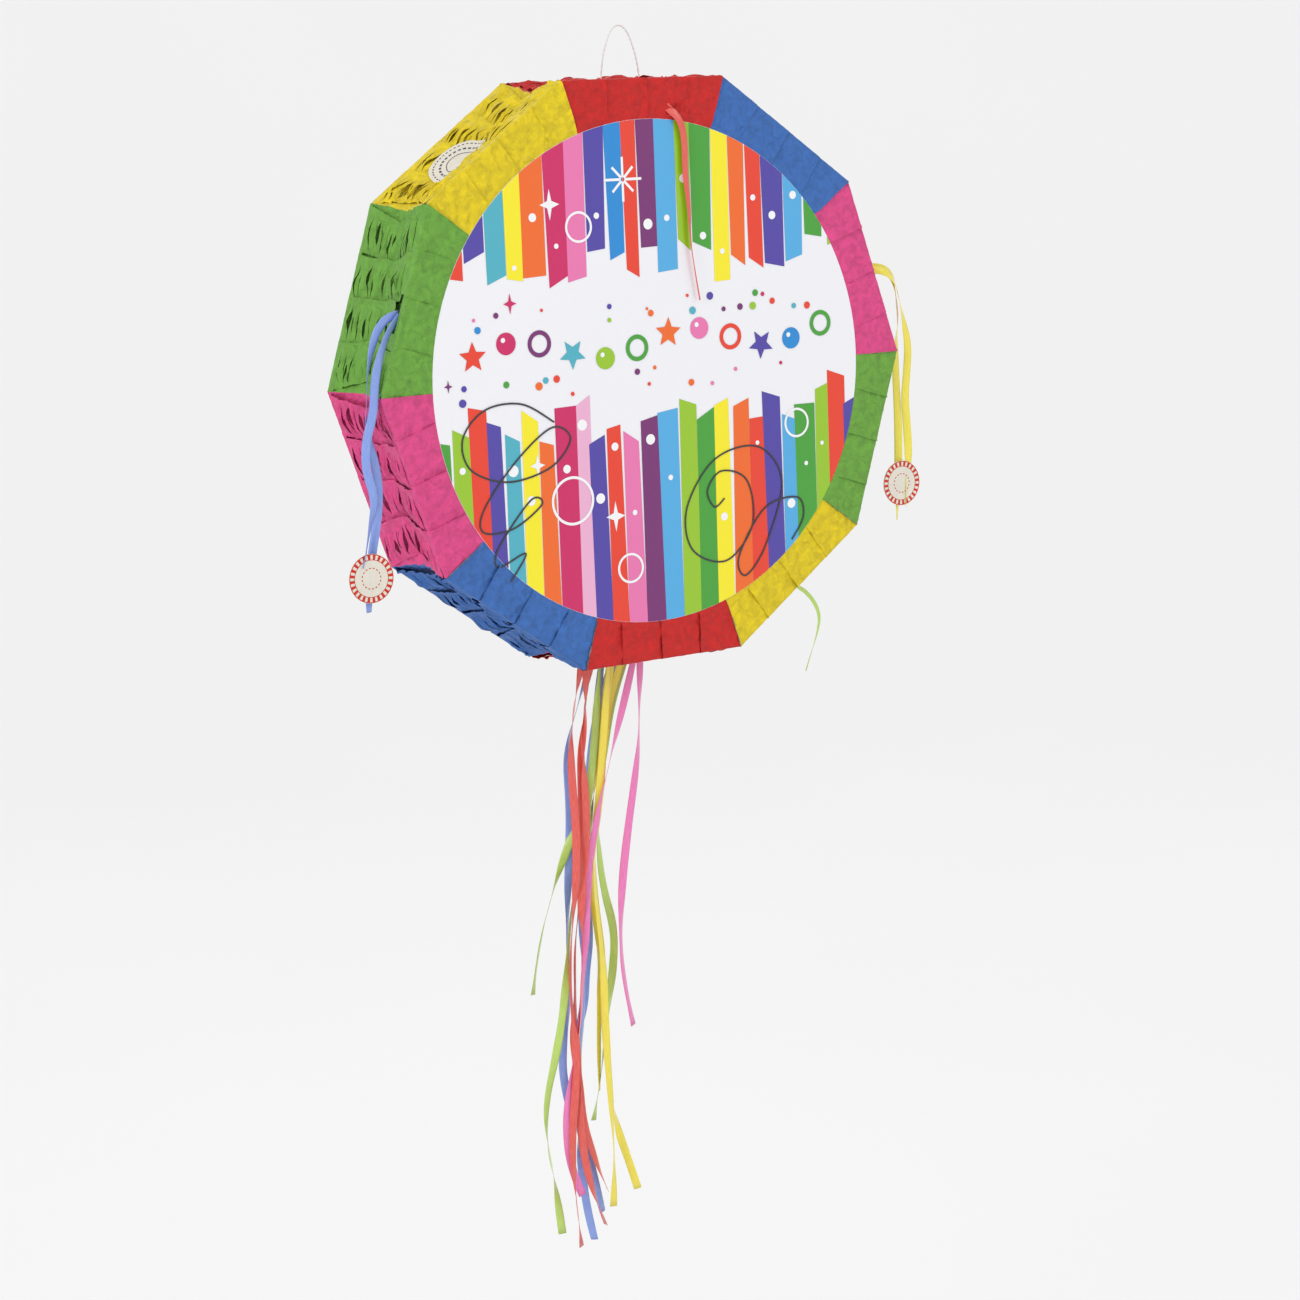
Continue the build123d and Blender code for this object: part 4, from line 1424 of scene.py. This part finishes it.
class PINATA_OT_rim_tissue(bpy.types.Operator):
    """Four cut strips of tissue on each of the ten folding sides"""

    bl_idname = "pinata.rim_tissue"
    bl_label = "Rim tissue"

    def execute(self, context):
        life = context.scene.pinata_sizes.fringe_life
        for number in range(SIDE_COUNT):
            chance = Random(300 + number)
            sheet = Sheet()
            door_faces = []
            for row in range(ROWS_A_SIDE):
                fringe_row(sheet, door_faces, number, row, life * chance.uniform(0.8, 1.25), chance)
            piece = sheet_piece(f"{side_name(number)}_fringe", sheet, tissue_slot(number))
            drop_loose_points(piece)
            blend_at_crease(piece)
            if door_faces:
                sheet.faces = door_faces
                door = sheet_piece("door_fringe", sheet, tissue_slot(number))
                drop_loose_points(door)
                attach(door, "trap_door")
        return {"FINISHED"}


class PINATA_OT_border_tissue(bpy.types.Operator):
    """The strips' ends, over the edges of both boards and flat on their faces"""

    bl_idname = "pinata.border_tissue"
    bl_label = "Border tissue"

    def execute(self, context):
        for front in (True, False):
            word = "front" if front else "back"
            for number in range(SIDE_COUNT):
                chance = Random(500 + number + 50 * front)
                sheet = Sheet()
                for strip in range(ROWS_A_SIDE):
                    border_strip(sheet, number, strip, front, chance)
                piece = sheet_piece(f"{side_name(number)}_{word}_border", sheet, tissue_slot(number))
                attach(piece, f"{word}_board")
        return {"FINISHED"}


class PINATA_OT_corner_tissue(bpy.types.Operator):
    """Gathered tissue at the ten corners"""

    bl_idname = "pinata.corner_tissue"
    bl_label = "Corner tissue"

    def execute(self, context):
        for number in range(SIDE_COUNT):
            sheet = Sheet()
            for end in (-1, 1):
                corner_tissue(sheet, number, end)
            piece = sheet_piece(f"{side_name(number)}_corners", sheet, tissue_slot(number))
            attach(piece, "back_board")
            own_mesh(piece)
        return {"FINISHED"}


class PINATA_OT_printed_faces(bpy.types.Operator):
    """The coloured print on the front and back discs"""

    bl_idname = "pinata.printed_faces"
    bl_label = "Printed faces"

    def execute(self, context):
        front = Print(DISC_RADIUS - 0.2 * MM, DISC_FACE, False)
        front_art(front, Random(21))
        front.piece("front_print_colours", "front_board", "printed_paper", finishes["printing_ink"])
        back = Print(DISC_RADIUS - 0.2 * MM, DISC_FACE, True)
        back_art(back, Random(22))
        back.piece("back_print_colours", "back_board", "printed_paper", finishes["printing_ink"])
        return {"FINISHED"}


class PINATA_OT_fill_label(bpy.types.Operator):
    """The round paper label over the fill hole"""

    bl_idname = "pinata.fill_label"
    bl_label = "Fill label"
    # Printed rings: radius in mm, dashes in the ring, half width in mm, share that is printed.
    rings = ((22.5, 40, 0.5, 0.55), (17.0, 26, 0.9, 0.6), (12.0, 1, 0.35, 1.0))

    def execute(self, context):
        angle = side_angle(LABEL_SIDE)
        steps, spokes = 10, 48
        sheet = Sheet()

        def lifted(reach, turn, height):
            """A point on the label, wavy and curling a little at two of its edges."""
            along = LABEL_PLACE + reach * cos(turn)
            y = reach * sin(turn)
            dip = CREASE_RADIUS + (rim_radius(y) - CREASE_RADIUS) * smooth(0.0, 12 * MM, abs(y))
            wave = 0.35 * MM * crumple(Vector((along, y, 0.0)), 55.0, 4.0)
            curl = 1.1 * MM * (reach / LABEL_RADIUS) ** 4 * max(0.0, sin(turn * 2 + 0.6))
            return on_drum(angle, dip + LABEL_LIFT + wave + curl + height, along, y)

        middle = sheet.add(lifted(0.0, 0.0, 0.0))
        loops = [
            [sheet.add(lifted(LABEL_RADIUS * step / steps, 2 * pi * k / spokes, 0.0)) for k in range(spokes)]
            for step in range(1, steps + 1)
        ]
        for k in range(spokes):
            sheet.faces.append((middle, loops[0][k], loops[0][(k + 1) % spokes]))
            for near, far in zip(loops, loops[1:]):
                following = (k + 1) % spokes
                sheet.faces.append((near[k], far[k], far[following], near[following]))
        label = sheet_piece("fill_label", sheet, "label_paper")
        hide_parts("fill_label_rear", "fill_label_front")
        blend_at_crease(label)

        dashes = Sheet()
        for radius, count, width, part in self.rings:
            for k in range(count):
                start = 2 * pi * k / count
                sweep = 2 * pi / count * part
                dashes.grid(40 if count == 1 else 3, 1, lambda u, v: lifted(
                    (radius + (v - 0.5) * 2 * width) * MM, start + sweep * u, 0.12 * MM
                ))
        marks = sheet_piece("fill_label_marks", dashes, "label_ink")
        blend_at_crease(marks)
        return {"FINISHED"}


class PINATA_OT_tags(bpy.types.Operator):
    """Red and white striped rims on both faces of the two pull tags"""

    bl_idname = "pinata.tags"
    bl_label = "Tags"

    def execute(self, context):
        for side in ("left", "right"):
            low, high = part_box(f"{side}_tag")
            middle_x, middle_z = (low.x + high.x) / 2, (low.z + high.z) / 2
            radius = (high.x - low.x) / 2
            for front in (True, False):
                out = -1 if front else 1
                face = low.y if front else high.y
                self.marks(f"{side}_tag_{'front' if front else 'back'}_print", f"{side}_pull",
                           Vector((middle_x, face, middle_z)), radius, out)
        return {"FINISHED"}

    def marks(self, name, body, middle, radius, out):
        sheet = Sheet()

        def arc(inner, outer, start, end, lift, steps):
            def place(u, v):
                turn = start + (end - start) * u
                reach = inner + (outer - inner) * v
                return middle + Vector((-out * reach * cos(turn), out * lift, reach * sin(turn)))
            sheet.grid(steps, 1, place)

        stripes = 24
        for k in range(stripes):
            start = 2 * pi * k / stripes
            arc(radius * 0.77, radius * 0.985, start, start + pi / stripes, 0.07 * MM, 2)
        arc(radius * 0.955, radius * 0.99, 0.0, 2 * pi, 0.09 * MM, 72)
        arc(radius * 0.745, radius * 0.77, 0.0, 2 * pi, 0.09 * MM, 72)
        for k in range(16):
            start = 2 * pi * k / 16
            arc(radius * 0.40, radius * 0.44, start, start + pi / 16, 0.09 * MM, 2)
        piece = new_piece(name, sheet.points, sheet.faces, finishes["tag_ink"], False)
        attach(piece, body)


class PINATA_OT_knots(bpy.types.Operator):
    """Tied ribbon knots under the drum and in the two slits"""

    bl_idname = "pinata.knots"
    bl_label = "Knots"
    # The ribbon that shows in each knot, and the knot's place to the right, in mm.
    tail_knots = (
        ("red", -52), ("blue", -43), ("lime", -35), ("yellow", -27), ("blue", -19), ("yellow", -10),
        ("pink", -1),
    )

    def execute(self, context):
        low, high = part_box("ribbon_knots")
        level = (low.z + high.z) / 2
        depth = (low.y + high.y) / 2
        for index, (word, x) in enumerate(self.tail_knots):
            place = Vector((x * MM, depth, level))
            piece = self.knot(f"tail_knot_{index + 1}", word, place, 2.2 * MM, index)
            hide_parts("ribbon_knots")
            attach(piece, "ribbon_tail")
        for side, word in (("left", "blue"), ("right", "yellow")):
            low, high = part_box(f"{side}_pull_knot")
            piece = self.knot(f"{side}_pull_knot_tied", word, (low + high) / 2, 2.4 * MM, 20)
            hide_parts(f"{side}_pull_knot")
            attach(piece, f"{side}_pull")
        return {"FINISHED"}

    def knot(self, name, word, middle, radius, seed):
        """A tied lump: a flat band wound over itself in a closed three-lobed path."""
        count = 72
        path = []
        for k in range(count + 1):
            t = 2 * pi * k / count
            spread = 0.52 + 0.26 * cos(3 * t)
            path.append(middle + Vector((
                radius * spread * cos(2 * t + seed), radius * spread * sin(2 * t + seed),
                radius * 0.42 * sin(3 * t),
            )))
        sheet = Sheet()
        tube_points(sheet, path, radius * 0.42, 8)
        piece = sheet_piece(name, sheet, f"ribbon_{word}")
        piece.data.uv_layers.new(name="ribbon")
        return piece


class PINATA_OT_card_parts(bpy.types.Operator):
    """Finishes on the card, paper and wood pieces that keep their own shape"""

    bl_idname = "pinata.card_parts"
    bl_label = "Card parts"

    def execute(self, context):
        slots = {part["node"]: part["material_slot"] for part in frame["record"]["subparts"]}
        for name, piece in frame["nodes"].items():
            # Parts on a tissue slot, the halves beneath the fringe, take the darker tissue: painted shade
            # seen through the slits.
            finish = finishes[slots[name].replace("tissue", "under")]
            if piece.data.materials:
                for index in range(len(piece.data.materials)):
                    piece.data.materials[index] = finish
            else:
                piece.data.materials.append(finish)
        return {"FINISHED"}


class PINATA_PT_panel(bpy.types.Panel):
    """Lists the steps in the order that they are made"""

    bl_idname = "PINATA_PT_panel"
    bl_label = "Pinata"
    bl_space_type = "VIEW_3D"
    bl_region_type = "UI"
    bl_category = "Pinata"

    def draw(self, context):
        for group_name in ("pinata_sizes", "pinata_colours"):
            values = getattr(context.scene, group_name)
            column = self.layout.column(align=True)
            for key in values.__annotations__:
                column.prop(values, key)
        for step in STEPS:
            self.layout.operator(step.bl_idname)


STEPS = (
    PINATA_OT_stage, PINATA_OT_ribbons, PINATA_OT_hanging_loop, PINATA_OT_border_tissue,
    PINATA_OT_rim_tissue, PINATA_OT_corner_tissue, PINATA_OT_printed_faces, PINATA_OT_fill_label,
    PINATA_OT_tags, PINATA_OT_knots, PINATA_OT_card_parts,
)
CLASSES = (PinataSizes, PinataColours, *STEPS, PINATA_PT_panel)


def register():
    for item in CLASSES:
        bpy.utils.register_class(item)
    bpy.types.Scene.pinata_sizes = PointerProperty(type=PinataSizes)
    bpy.types.Scene.pinata_colours = PointerProperty(type=PinataColours)


def unregister():
    del bpy.types.Scene.pinata_colours
    del bpy.types.Scene.pinata_sizes
    for item in reversed(CLASSES):
        bpy.utils.unregister_class(item)


def main():
    register()
    make_finishes()
    for step in STEPS:
        family, name = step.bl_idname.split(".")
        getattr(getattr(bpy.ops, family), name)()


if __name__ == "__main__":
    main()
